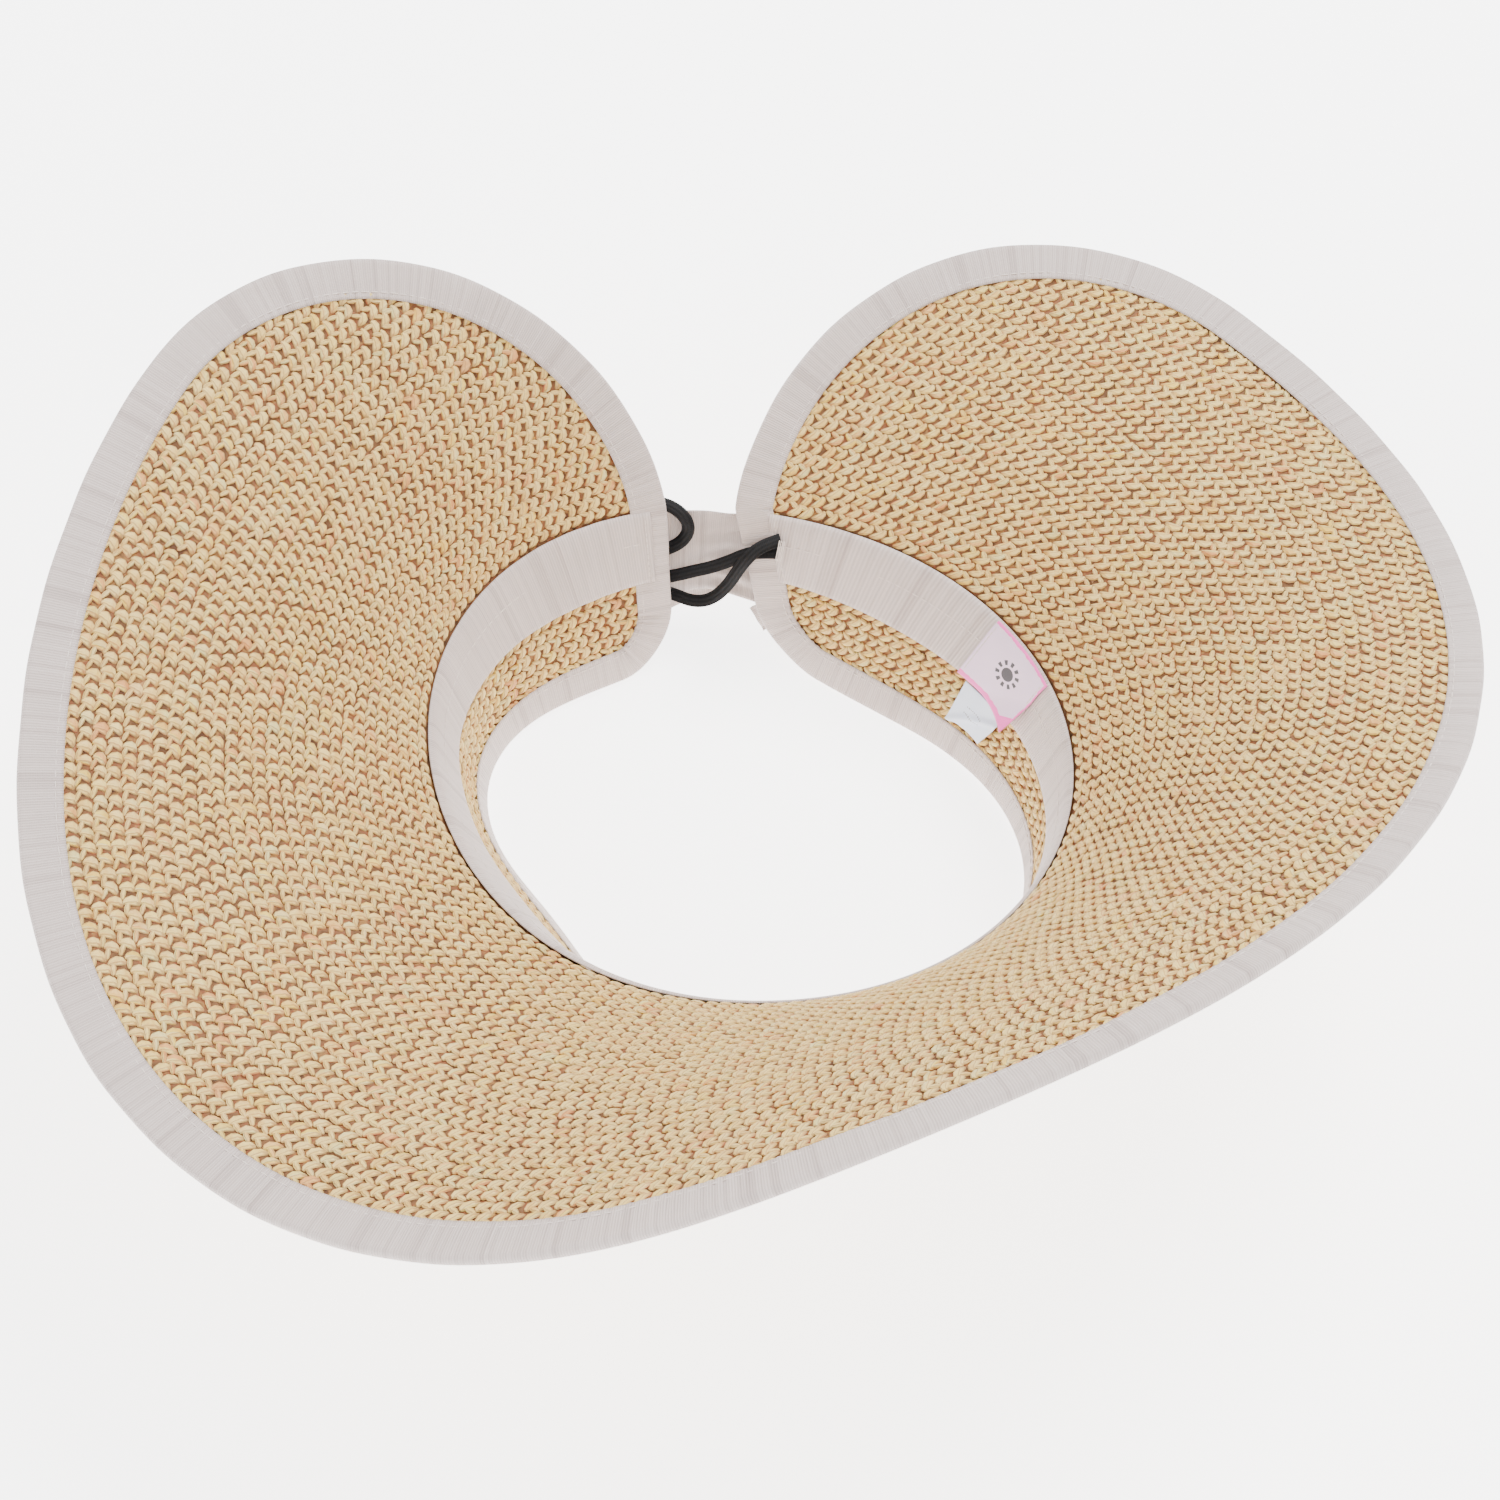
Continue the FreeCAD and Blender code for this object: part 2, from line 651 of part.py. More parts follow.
def crown_row(height, inset_left, inset_right, count):
    start = end_angle("left", height) + arc_angle(inset_left, height)
    end = end_angle("right", height) - arc_angle(inset_right, height)
    return [(start, height)] + between(start, end, count, height) + [(end, height)]


band_row = crown_row(-size("sweatband_stitch_drop"), size("sweatband_inset_left") + 2 * clear,
                     size("sweatband_inset_right") + 2 * clear, 120)
feature("sweatband_thread", thread_along(band_row, BAND_OUT + THREAD_GAP))


def upright(angle_at, low, high, count):
    return [(angle_at(low + (high - low) * index / count), low + (high - low) * index / count)
            for index in range(count + 1)]


def band_end(side, inset):
    sign = 1 if side == "left" else -1
    return lambda height: end_angle(side, height) + sign * arc_angle(inset, height)


end_rows = [upright(band_end("left", size("sweatband_inset_left") + clear),
                    -size("sweatband_width") + clear, -clear, 8),
            upright(band_end("right", size("sweatband_inset_right") + clear),
                    -size("sweatband_width") + clear, -clear, 8)]
feature("sweatband_end_threads", Part.makeCompound(
    [thread_along(row, BAND_OUT + THREAD_GAP) for row in end_rows]))

label_half = (size("brand_length") / 2 - size("label_stitch_inset")) / waves("ring", BRAND_ANGLE)
label_rows = [upright(lambda height, turn=turn: BRAND_ANGLE + turn, -size("brand_width") + clear,
                      -clear, 8) for turn in (-label_half, label_half)]
feature("label_threads", Part.makeCompound(
    [thread_along(row, LABEL_OUT + THREAD_GAP) for row in label_rows]))

bridge_rows = []
for s in (0.04, 0.96):
    foot, head = bridge_place(s, 0.08), bridge_place(s, 0.92)
    bridge_rows.append(upright(lambda height, turn=foot[0]: turn, foot[1], head[1], 10))
bridge_face = -BRIDGE_OUT - THREAD_GAP - size("bridge_belly") * math.sin(math.pi * 0.04) ** 2
feature("bridge_threads", Part.makeCompound(
    [thread_along(row, bridge_face) for row in bridge_rows]))


# ---------------------------------------------------------------- elastic

def rounded_route(points):
    """Straight runs between the points, joined by tangent arcs; returns edges and radii."""
    edges, radii = [], []
    start = points[0]
    for before, corner, after in zip(points, points[1:], points[2:]):
        into, out = (corner - before), (after - corner)
        turn = into.getAngle(out)
        reach = 0.45 * min(into.Length, out.Length)
        radii.append(reach / math.tan(turn / 2))
        first = corner - into.normalize() * reach
        last = corner + out.normalize() * reach
        bisector = (first + last) * 0.5 - corner
        to_centre = math.hypot(radii[-1], reach)
        top = corner + bisector.normalize() * (to_centre - radii[-1])
        edges.append(Part.LineSegment(start, first).toShape())
        edges.append(Part.Arc(first, top, last).toShape())
        start = last
    edges.append(Part.LineSegment(start, points[-1]).toShape())
    return edges, radii


def elastic(label, route):
    """A round tube as wide as the flat elastic, along its route."""
    points = [straw(math.radians(angle), height, offset) for angle, height, offset in route]
    edges, radii = rounded_route(points)
    wire = Part.Wire(edges)
    radius = size("elastic_width") / 2
    ring = Part.Wire([Part.makeCircle(radius, points[0], points[1] - points[0])])
    tube = wire.makePipeShell([ring], True, True)
    expected = math.pi * radius ** 2 * wire.Length
    print(label, "length", round(wire.Length, 1), "smallest radius", round(min(radii), 1),
          "volume ratio", round(tube.Volume / expected, 3))
    feature(label, tube)


# (angle in degrees, height, offset): from under the right end of the sweatband, over the
# binding, across the gap to behind the left end, and back
elastic("elastic_loop_right", (
    (161.2, -12.4, 3.6), (165.3, -13.0, 3.9), (168.8, -14.9, 3.5), (172.4, -19.2, 2.2),
    (176.6, -23.1, 0.5), (180.7, -25.5, -1.2), (184.4, -27.6, -3.0), (188.0, -28.6, -4.4),
    (189.6, -31.2, -4.8), (188.2, -34.0, -4.6), (185.0, -36.0, -3.6), (181.6, -38.0, -2.0),
    (178.0, -37.4, -0.2), (174.9, -33.6, 1.8), (172.3, -27.4, 3.8), (170.4, -20.4, 5.6),
    (168.2, -13.6, 6.8), (165.0, -8.8, 5.6), (161.2, -7.0, 3.7)))
# out from behind the left end, bulging into the gap, and back behind it
elastic("elastic_loop_left", (
    (191.0, 1.5, -4.4), (187.2, 0.4, -3.9), (183.4, -3.6, -3.0), (181.7, -9.5, -2.6),
    (183.4, -15.0, -3.0), (187.4, -18.0, -4.0), (191.0, -19.2, -4.6)))


def tack(angle, height, offset):
    """A short bar of stitches across an elastic end."""
    centre = math.radians(angle)
    half_turn = size("tack_width") / 2 / waves("ring", centre)
    reach = size("tack_length") / 2

    def place(s, t):
        return centre + (s - 0.5) * 2 * half_turn, height + (t - 0.5) * 2 * reach
    return sheet_slab(place, 3, 4, offset, offset + math.copysign(size("tack_thickness"), offset))


tack_face = size("elastic_width") + BINDING_OUT + 2 * size("ribbon_clearance")
feature("elastic_tack_right", tack(160.8, -10.0, tack_face + size("ribbon_thickness")))


# ---------------------------------------------------------------- checks and files

doc.recompute()
for item in doc.Objects:
    faults = [state for state in item.State if state in ("Invalid", "Error")]
    if faults:
        raise RuntimeError(f"{item.Label} failed: {faults}")

os.makedirs("parts", exist_ok=True)
low = Vector(1e9, 1e9, 1e9)
high = Vector(-1e9, -1e9, -1e9)
for item in doc.Objects:
    if item.TypeId not in ("Part::Feature", "PartDesign::Body"):
        continue
    shape = item.Shape
    if shape.isNull() or not shape.isValid() or shape.Volume <= 0:
        raise RuntimeError(f"{item.Label} has no valid solid")
    shape.exportStep(f"parts/{item.Label}.step")
    box = shape.BoundBox
    low = Vector(min(low.x, box.XMin), min(low.y, box.YMin), min(low.z, box.ZMin))
    high = Vector(max(high.x, box.XMax), max(high.y, box.YMax), max(high.z, box.ZMax))
    print(f"{item.Label:24s} {shape.Volume / 1000:8.2f} cm3  solids {len(shape.Solids)}")
print("box", low, high)
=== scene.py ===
import math

import bmesh
import bpy
import numpy as np
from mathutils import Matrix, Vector, kdtree


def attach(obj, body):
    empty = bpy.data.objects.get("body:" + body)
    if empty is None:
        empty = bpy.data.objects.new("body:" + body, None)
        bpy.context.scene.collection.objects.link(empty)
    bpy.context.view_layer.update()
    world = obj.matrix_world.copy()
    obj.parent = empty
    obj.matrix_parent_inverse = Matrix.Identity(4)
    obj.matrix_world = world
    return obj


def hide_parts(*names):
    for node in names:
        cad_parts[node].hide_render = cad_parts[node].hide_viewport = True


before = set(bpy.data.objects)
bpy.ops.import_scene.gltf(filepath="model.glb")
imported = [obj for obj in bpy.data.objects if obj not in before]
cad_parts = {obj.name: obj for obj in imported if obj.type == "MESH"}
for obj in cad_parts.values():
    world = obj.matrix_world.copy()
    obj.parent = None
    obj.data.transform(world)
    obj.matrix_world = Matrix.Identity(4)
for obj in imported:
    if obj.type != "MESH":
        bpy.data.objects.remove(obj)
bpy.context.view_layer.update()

# ---- Camera, floor and light -------------------------------------------------------------
# The visor lies crown-down on a pale table under soft studio light, seen from above its front
# edge, a little to the left of its middle line.
LOOK_AT = Vector((-0.010, 0.0111, 0.0616))
LOOK_TURN, LOOK_DROP, LOOK_ROLL = math.radians(-8.49), math.radians(61.52), math.radians(5.01)
LOOK_FROM = 0.6644
LENS, SHIFT = 53.59, (0.0211, -0.0136)
FLOOR_HALF = 6



def placed(name, data):
    """A new object in the scene."""
    made = bpy.data.objects.new(name, data)
    bpy.context.collection.objects.link(made)
    return made


back = Vector((math.sin(LOOK_TURN) * math.cos(LOOK_DROP),
               -math.cos(LOOK_TURN) * math.cos(LOOK_DROP), math.sin(LOOK_DROP)))
camera = placed("camera", bpy.data.cameras.new("camera"))
camera.location = LOOK_AT + back * LOOK_FROM
turned = back.to_track_quat("Z", "Y").to_matrix().to_4x4()
right = Vector((math.cos(LOOK_TURN), math.sin(LOOK_TURN), 0))
up = back.cross(right)
right, up = (right * math.cos(LOOK_ROLL) + up * math.sin(LOOK_ROLL),
             up * math.cos(LOOK_ROLL) - right * math.sin(LOOK_ROLL))
for row in range(3):
    turned[row][0], turned[row][1], turned[row][2] = right[row], up[row], back[row]
camera.rotation_euler = turned.to_euler()
camera.data.sensor_width = 36.0
camera.data.lens = LENS
camera.data.shift_x, camera.data.shift_y = SHIFT
camera.data.clip_start = 0.01
bpy.context.scene.camera = camera


class Flow:
    """One output of a node that can be added, multiplied and so on."""

    def __init__(self, paint, socket):
        self.paint, self.socket = paint, socket

    def joined(self, operation, first, second=None):
        inputs = {0: first} if second is None else {0: first, 1: second}
        return self.paint.node("ShaderNodeMath", inputs, operation=operation)

    def __add__(self, other): return self.joined("ADD", self, other)
    def __radd__(self, other): return self.joined("ADD", other, self)
    def __sub__(self, other): return self.joined("SUBTRACT", self, other)
    def __rsub__(self, other): return self.joined("SUBTRACT", other, self)
    def __mul__(self, other): return self.joined("MULTIPLY", self, other)
    def __rmul__(self, other): return self.joined("MULTIPLY", other, self)
    def __pow__(self, other): return self.joined("POWER", self, other)
    def __lt__(self, other): return self.joined("LESS_THAN", self, other)
    def __gt__(self, other): return self.joined("GREATER_THAN", self, other)
    def sine(self): return self.joined("SINE", self)


class Paint:
    """A material: fixed values on its shader, and nodes for what changes over the surface."""

    def __init__(self, name, **fixed):
        self.material = bpy.data.materials.new(name)
        self.material.use_nodes = True
        self.tree = self.material.node_tree
        self.shader = self.tree.nodes["Principled BSDF"]
        for socket, value in fixed.items():
            self.shader.inputs[socket.replace("_", " ")].default_value = value

    def node(self, kind, inputs=None, output=0, ramp=None, **settings):
        made = self.tree.nodes.new(kind)
        for setting, value in settings.items():
            setattr(made, setting, value)
        if ramp:
            elements = made.color_ramp.elements
            while len(elements) < len(ramp):
                elements.new(0.5)
            for element, (place, colour) in zip(elements, ramp):
                element.position, element.color = place, (*colour, 1)
        for socket, value in (inputs or {}).items():
            if isinstance(value, Flow):
                self.tree.links.new(value.socket, made.inputs[socket])
            else:
                made.inputs[socket].default_value = value
        return Flow(self, made.outputs[output])

    def put(self, socket, flow):
        self.tree.links.new(flow.socket, self.shader.inputs[socket])

    def mix(self, factor, first, second, blend="MIX"):
        colours = [(*c, 1) if isinstance(c, tuple) else c for c in (first, second)]
        return self.node("ShaderNodeMix", {0: factor, 6: colours[0], 7: colours[1]}, 2,
                         data_type="RGBA", blend_type=blend)

    def bump(self, height, strength, distance):
        self.put("Normal", self.node("ShaderNodeBump", {"Height": height, "Strength": strength,
                                                        "Distance": distance}))

    def room(self):
        """A place in the visor's own frame."""
        return self.node("ShaderNodeTexCoord", output="Object")

    def uv(self):
        """A place on a ribbon or label, and its two parts."""
        place = self.node("ShaderNodeUVMap")
        return [place] + [self.node("ShaderNodeSeparateXYZ", {0: place}, part) for part in (0, 1)]

    def mark(self, name):
        """A value that the mesh carries."""
        return self.node("ShaderNodeAttribute", output=2, attribute_name=name)

    def noise(self, place, scale, detail=2.0, rough=0.5):
        return self.node("ShaderNodeTexNoise", {"Vector": place, "Scale": scale, "Detail": detail,
                                                "Roughness": rough})


table = Paint("table_top", Roughness=0.9, Emission_Color=(1.0, 1.0, 1.0, 1),
              Emission_Strength=3.5)
table.put("Base Color", table.mix(table.noise(table.room(), 3.0), (0.965, 0.965, 0.965),
                                  (0.985, 0.985, 0.985)))
mesh = bmesh.new()
bmesh.ops.create_grid(mesh, x_segments=2, y_segments=2, size=FLOOR_HALF)
floor = placed("floor", bpy.data.meshes.new("floor"))
mesh.to_mesh(floor.data)
mesh.free()
floor.data.materials.append(table.material)

world = bpy.data.worlds.new("studio")
bpy.context.scene.world = world
world.use_nodes = True
world.node_tree.nodes["Background"].inputs["Color"].default_value = (1.0, 1.0, 1.0, 1)
world.node_tree.nodes["Background"].inputs["Strength"].default_value = 1.35
LAMPS_AIM = Vector((0, 0, 0.05))
for name, place, power, width in (("key", (0.6, 0.9, 1.5), 46, 0.8),
                                  ("fill", (-1.2, -0.4, 1.3), 16, 1.4),
                                  ("front_light", (0.2, -1.3, 1.2), 14, 1.2)):
    lamp = placed(name, bpy.data.lights.new(name, "AREA"))
    lamp.data.energy, lamp.data.size = power, width
    lamp.location = place
    lamp.rotation_euler = (Vector(place) - LAMPS_AIM).to_track_quat("Z", "Y").to_euler()

# ---- Elastic ---------------------------------------------------------------------------
# Two loops of flat black elastic, about 4 mm wide, close the back. The right one is sewn under
# the sweatband's end and crosses the gap; the left one comes out from behind the left end. Both
# lie on the straw's own shape, which every other piece follows too. Each entry of SHAPE is a mean
# and its waves round the head, front and side shares of one turn, two turns and so on, in
# millimetres and degrees.
SHAPE = {
    "ring": (91.0, (0.5, 8.5), (-6.0, 3.5), (-0.5, -1.5), (-0.5, 0.0)),
    "seam": (54.0, (1.5, -0.5), (-1.5, 1.5), (-1.5, 0.5)),
    "crown": (74.5, (9.0, 11.5), (-6.5, 7.5), (-1.5, -0.5), (2.5, -4.0)),
    "slope": (51.0, (5.0, 3.5), (0.0, 17.5), (0.5, 0.0)),
    "flare": (-29.5, (0.5, 2.0), (10.5, -6.0), (-1.5, -2.0)),
    "lean": (0.0, (-2.0, -17.5), (-1.0, 9.5)),
}
BRIM, CROWN, SEAM_SOFT = 126.0, 57.0, 6.0
ORIGIN = np.array((-10.0, 11.1, 1.6))
GAUSS = np.polynomial.legendre.leggauss(4)


def waves(curve, angle):
    mean, *pairs = SHAPE[curve]
    return mean + sum(front * np.cos(order * angle) + side * np.sin(order * angle)
                      for order, (front, side) in enumerate(pairs, start=1))


def ring_point(curve, angle, height):
    radius = waves(curve, angle)
    return np.stack([radius * np.sin(angle), -radius * np.cos(angle), height + 0 * radius], -1)


def creased(angle, height):
    """Points of the straw's middle surface, with a sharp crease at the seam."""
    seam = ring_point("ring", angle, waves("seam", angle))
    step = 1e-3
    along = (ring_point("ring", angle + step, 0) - ring_point("ring", angle - step, 0)) / (2 * step)
    outward = np.stack([along[..., 1], -along[..., 0]], -1)
    outward /= np.linalg.norm(outward, axis=-1, keepdims=True)
    lean = np.radians(waves("lean", angle))
    outward = np.stack([outward[..., 0] * np.cos(lean) - outward[..., 1] * np.sin(lean),
                        outward[..., 0] * np.sin(lean) + outward[..., 1] * np.cos(lean)], -1)
    slope, flare = np.radians(waves("slope", angle)), np.radians(waves("flare", angle))
    above = np.maximum(height, 0)
    turns = [slope + flare * above * (node + 1) / 2 / BRIM for node in GAUSS[0]]
    run = sum(weight / 2 * above * np.cos(turn) for weight, turn in zip(GAUSS[1], turns))
    rise = sum(weight / 2 * above * np.sin(turn) for weight, turn in zip(GAUSS[1], turns))
    brim = seam + np.stack([outward[..., 0] * run, outward[..., 1] * run, rise], -1)
    down = (-np.minimum(height, 0) / CROWN)[..., None]
    crown = seam + (ring_point("crown", angle, 0) - seam) * down
    return np.where((height >= 0)[..., None], brim, crown)


def middle(angle, height):
    """Points of the middle surface, in millimetres, with the seam rounded."""
    angle, height = np.broadcast_arrays(np.asarray(angle, float), np.asarray(height, float))
    part = np.clip((height + SEAM_SOFT) / (2 * SEAM_SOFT), 0, 1)[..., None]
    level = np.full_like(height, SEAM_SOFT)
    rounded = (creased(angle, -level) * (1 - part) ** 2
               + creased(angle, 0 * level) * 2 * part * (1 - part)
               + creased(angle, level) * part ** 2)
    return np.where((abs(height) < SEAM_SOFT)[..., None], rounded, creased(angle, height))


def unit(vectors):
    return vectors / np.linalg.norm(vectors, axis=-1, keepdims=True)


def axes(angle, height):
    """Unit directions along the ring, up the profile, and square to the straw headwards."""
    angle, height = np.asarray(angle, float), np.asarray(height, float)
    along = middle(angle + 2e-3, height) - middle(angle - 2e-3, height)
    rise = middle(angle, height + 0.1) - middle(angle, height - 0.1)
    return unit(along), unit(rise), unit(np.cross(rise, along))


def straw(angle, height, offset=0.0):
    """Points at an offset from the straw, in metres in the visor's own frame."""
    points = middle(angle, height) + axes(angle, height)[2] * np.asarray(offset, float)[..., None]
    return (points + ORIGIN) / 1000


# The elastic's section is in shares of its cord diameter. Its flat side leans upwards from the
# straw's face at one height, so that it keeps its face to the head.
ELASTIC = 0.0033
ELASTIC_SECTION = ((-0.64, 0.0), (-0.6, 0.12), (0.0, 0.15), (0.6, 0.12), (0.64, 0.0), (0.6, -0.12),
                   (0.0, -0.15), (-0.6, -0.12))
ELASTIC_UV_STEP = 0.0009
FACE_HEIGHT, FACE_SHARE, FACE_UP = -18.0, 0.45, np.array((0.0, 0.0, 0.9))

# Each route is a list of (degrees round the head, height, offset from the straw).
ROUTES = {
    "elastic_loop_right": (
        (161.2, -12.4, 3.6), (165.3, -13.0, 3.9), (168.8, -14.9, 3.5), (172.4, -19.2, 2.2),
        (176.6, -23.1, 0.5), (180.7, -25.5, -1.2), (184.4, -27.6, -3.0), (188.0, -28.6, -4.4),
        (189.6, -31.2, -4.8), (188.2, -34.0, -4.6), (185.0, -36.0, -3.6), (181.6, -38.0, -2.0),
        (178.0, -37.4, -0.2), (174.9, -33.6, 1.8), (172.3, -27.4, 3.8), (170.4, -20.4, 5.6),
        (168.2, -13.6, 6.8), (165.0, -8.8, 5.6), (161.2, -7.0, 3.7)),
    "elastic_loop_left": (
        (191.0, 1.5, -4.4), (187.2, 0.4, -3.9), (183.4, -3.6, -3.0), (181.7, -9.5, -2.6),
        (183.4, -15.0, -3.0), (187.4, -18.0, -4.0), (191.0, -19.2, -4.6)),
}

elastic_paint = Paint("black_elastic", Roughness=0.7, Specular_IOR_Level=0.18)
weave, weave_across = elastic_paint.uv()[1:]
ribs = ((weave * (2 * math.pi / 0.00055)).sine() * 0.5
        + (weave_across * (2 * math.pi / 0.0006)).sine())
elastic_paint.bump(ribs, 0.55, 0.00012)
# Painted shade: the black is a little darker in the grooves between the woven ribs.
elastic_paint.put("Base Color", elastic_paint.mix(ribs * 0.3 + 0.5, (0.004, 0.004, 0.0045),
                                                  (0.014, 0.014, 0.015)))


def new_piece(name, mesh, paint):
    """A finished bmesh as an object at the origin."""
    data = bpy.data.meshes.new(name)
    mesh.to_mesh(data)
    mesh.free()
    data.materials.append(paint.material)
    data.polygons.foreach_set("use_smooth", [True] * len(data.polygons))
    return placed(name, data)


def belongs(piece, node, body="root"):
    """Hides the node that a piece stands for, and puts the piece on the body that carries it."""
    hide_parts(node)
    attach(piece, body)


def route_line(name, points):
    """Evenly read points of a smooth spline through a route's control points."""
    curve = bpy.data.curves.new(name, "CURVE")
    curve.dimensions = "3D"
    spline = curve.splines.new("NURBS")
    spline.points.add(len(points) - 1)
    for knot, point in zip(spline.points, points):
        knot.co = (*point, 1)
    spline.order_u = 3
    spline.use_endpoint_u = True
    spline.resolution_u = 10
    holder = bpy.data.objects.new(name, curve)
    line = bpy.data.meshes.new_from_object(holder)
    read = np.array([vertex.co[:] for vertex in line.vertices])
    bpy.data.objects.remove(holder)
    return read


def flat_cord(name, route):
    """Flat elastic along its route: a rounded band that keeps its face to the head."""
    angle, height, offset = (np.array(column, float) for column in zip(*route))
    line = route_line(name, straw(np.radians(angle), height, offset))
    turned = np.interp(np.arange(len(line)), np.linspace(0, len(line) - 1, len(angle)), angle)
    face = axes(np.radians(turned), np.full(len(line), FACE_HEIGHT))[2]
    face = unit(face * FACE_SHARE + FACE_UP)
    run = unit(np.gradient(line, axis=0))
    across = unit(np.cross(face, run))
    out = np.cross(run, across)
    mesh = bmesh.new()
    layer = mesh.loops.layers.uv.new("UVMap")
    rings = [[mesh.verts.new(line[i] + (across[i] * a + out[i] * b) * ELASTIC)
              for a, b in ELASTIC_SECTION] for i in range(len(line))]
    length = np.concatenate([[0], np.cumsum(np.linalg.norm(np.diff(line, axis=0), axis=1))])
    for i in range(len(line) - 1):
        for j in range(len(ELASTIC_SECTION)):
            k = (j + 1) % len(ELASTIC_SECTION)
            side = mesh.faces.new((rings[i][j], rings[i][k], rings[i + 1][k], rings[i + 1][j]))
            spots = ((length[i], j), (length[i], j + 1), (length[i + 1], j + 1), (length[i + 1], j))
            for loop, (along, step) in zip(side.loops, spots):
                loop[layer].uv = (along, step * ELASTIC_UV_STEP)
    mesh.faces.new(rings[0][::-1])
    mesh.faces.new(rings[-1])
    bmesh.ops.recalc_face_normals(mesh, faces=mesh.faces)
    piece = new_piece(name + "_band", mesh, elastic_paint)
    belongs(piece, name)


for loop_name, loop_route in ROUTES.items():
    flat_cord(loop_name, loop_route)

# ---- Straw brim and crown ----------------------------------------------------------------
# Both are knitted from cream paper straw with brown, orange and yellow flecks. The knit is
# plaited courses about 4 mm wide that run round the head: each stitch is a plump leg that leans
# against the next and a thin one over it, with a small hole between. A thin core carries them.
# The raw edge at the closure has, on each side, half a gap at the seam, a slope down the crown, a
# lobe on the brim (its length and the power of its curve) and a round corner at the crown's foot.
GAPS = {"left": 11.0, "right": 12.5}
SLOPES = {"left": 1.0, "right": 15.0}
LOBES = {"left": (147.0, 1.75), "right": (142.5, 1.85)}
CORNER = 21.0
COURSE, STITCH = 4.1, 4.0
CORE_WALL, RIBBON_WALL, BINDING_WALL, LABEL_WALL = 0.0007, 0.0005, 0.00045, 0.0003
rng = np.random.default_rng(11)


def turn_of(length, height):
    """The angle that a length along the ring takes at a height."""
    height = np.asarray(height, float)
    return length / (waves("ring", np.pi) + np.where(height > 0, 0.9 * height, 0.25 * height))


def raw_edge(side, height, inside=0.0):
    """Angle of the straw's raw edge at the closure, or of a line a distance inside it."""
    height = np.asarray(height, float)
    length, fullness = LOBES[side]
    above = length * (1 - (1 - np.clip(height / BRIM, 0, 1) ** fullness) ** (1 / fullness))
    into = np.clip((-height - CROWN + CORNER) / CORNER, 0, 1)
    below = SLOPES[side] * -height / CROWN + CORNER * (1 - np.sqrt(1 - into ** 2))
    beyond = np.where(height > 0, above, below) + inside
    turn = np.pi - turn_of(GAPS[side], 0) - turn_of(beyond, height)
    return -turn if side == "left" else turn


def grid_piece(name, across, along, lay, paint, thickness):
    """A sheet from a grid: lay(s, t) gives its points in metres and its UVs."""
    mesh = bmesh.new()
    bmesh.ops.create_grid(mesh, x_segments=across, y_segments=along, size=0.5)
    spots = np.array([vertex.co[:2] for vertex in mesh.verts]) + 0.5
    points, uvs = lay(spots[:, 0], spots[:, 1])
    layer = mesh.loops.layers.uv.new("UVMap")
    for vertex, point in zip(mesh.verts, points):
        vertex.co = point
    for face in mesh.faces:
        for loop in face.loops:
            loop[layer].uv = uvs[loop.vert.index]
    piece = new_piece(name, mesh, paint)
    wall = piece.modifiers.new("thickness", "SOLIDIFY")
    wall.thickness, wall.offset = thickness, 0.0
    return piece


def repeated(name, template, places, frames, sizes, marks, paint):
    """Copies of one small bmesh, each at its place, in its own frame and at its own size."""
    data = bpy.data.meshes.new("one")
    template.to_mesh(data)
    one = np.array([vertex.co[:] for vertex in data.vertices])
    template.free()
    seed = placed("one", data)
    row = seed.modifiers.new("row", "ARRAY")
    row.count, row.use_relative_offset = len(places), False
    bpy.context.view_layer.update()
    seen = seed.evaluated_get(bpy.context.evaluated_depsgraph_get())
    many = bpy.data.meshes.new_from_object(seen)
    bpy.data.objects.remove(seed)
    local = one[None] * sizes[:, None, :]
    spots = places[:, None, :] + sum(local[:, :, k:k + 1] * frames[k][:, None, :] for k in range(3))
    many.vertices.foreach_set("co", spots.ravel())
    for mark, values in marks.items():
        many.attributes.new(mark, "FLOAT", "POINT").data.foreach_set("value", values.ravel())
    many.polygons.foreach_set("use_smooth", [True] * len(many.polygons))
    many.materials.append(paint.material)
    many.name = name
    many.update()
    return placed(name, many)


def linear(*colour):
    """A colour from the values that a screen shows."""
    return tuple(c / 12.92 if c <= 0.04045 else ((c + 0.055) / 1.055) ** 2.4 for c in colour)


yarn = Paint("paper_straw_yarn", Roughness=0.70, Sheen_Weight=0.1, Sheen_Roughness=0.5)
# The "root" mark browns each stitch's lower part. This is partly the brown yarn seen between
# stitches and partly painted shade in the valleys between them.
root = yarn.mark("root")
creams = yarn.node("ShaderNodeValToRGB", {0: yarn.mark("tint")}, ramp=[
    (0.0, linear(0.90, 0.76, 0.45)), (0.22, linear(0.92, 0.80, 0.49)),
    (0.40, linear(0.87, 0.74, 0.46)), (0.55, linear(0.92, 0.80, 0.45)),
    (0.68, linear(0.90, 0.76, 0.49)), (0.78, linear(0.85, 0.79, 0.53)),
    (0.86, linear(0.91, 0.77, 0.34)), (0.93, linear(0.90, 0.71, 0.43)),
    (0.98, linear(0.84, 0.58, 0.33)), (1.0, linear(0.87, 0.76, 0.51))])
browns = yarn.node("ShaderNodeValToRGB", {0: yarn.mark("fleck")}, ramp=[
    (0.0, linear(0.48, 0.32, 0.19)), (0.32, linear(0.60, 0.43, 0.27)),
    (0.58, linear(0.54, 0.35, 0.21)), (0.74, linear(0.66, 0.39, 0.24)),
    (0.83, linear(0.62, 0.26, 0.18)), (0.90, linear(0.72, 0.52, 0.20)),
    (1.0, linear(0.46, 0.34, 0.25))])
fibre_place = yarn.room()
fibres = yarn.noise(fibre_place, 1400.0, 3.0, 0.6)
mottle = yarn.noise(fibre_place, 300.0, 2.0)
body = yarn.mix((mottle - 0.42) * 2.2, creams, linear(0.88, 0.78, 0.56), "MULTIPLY")
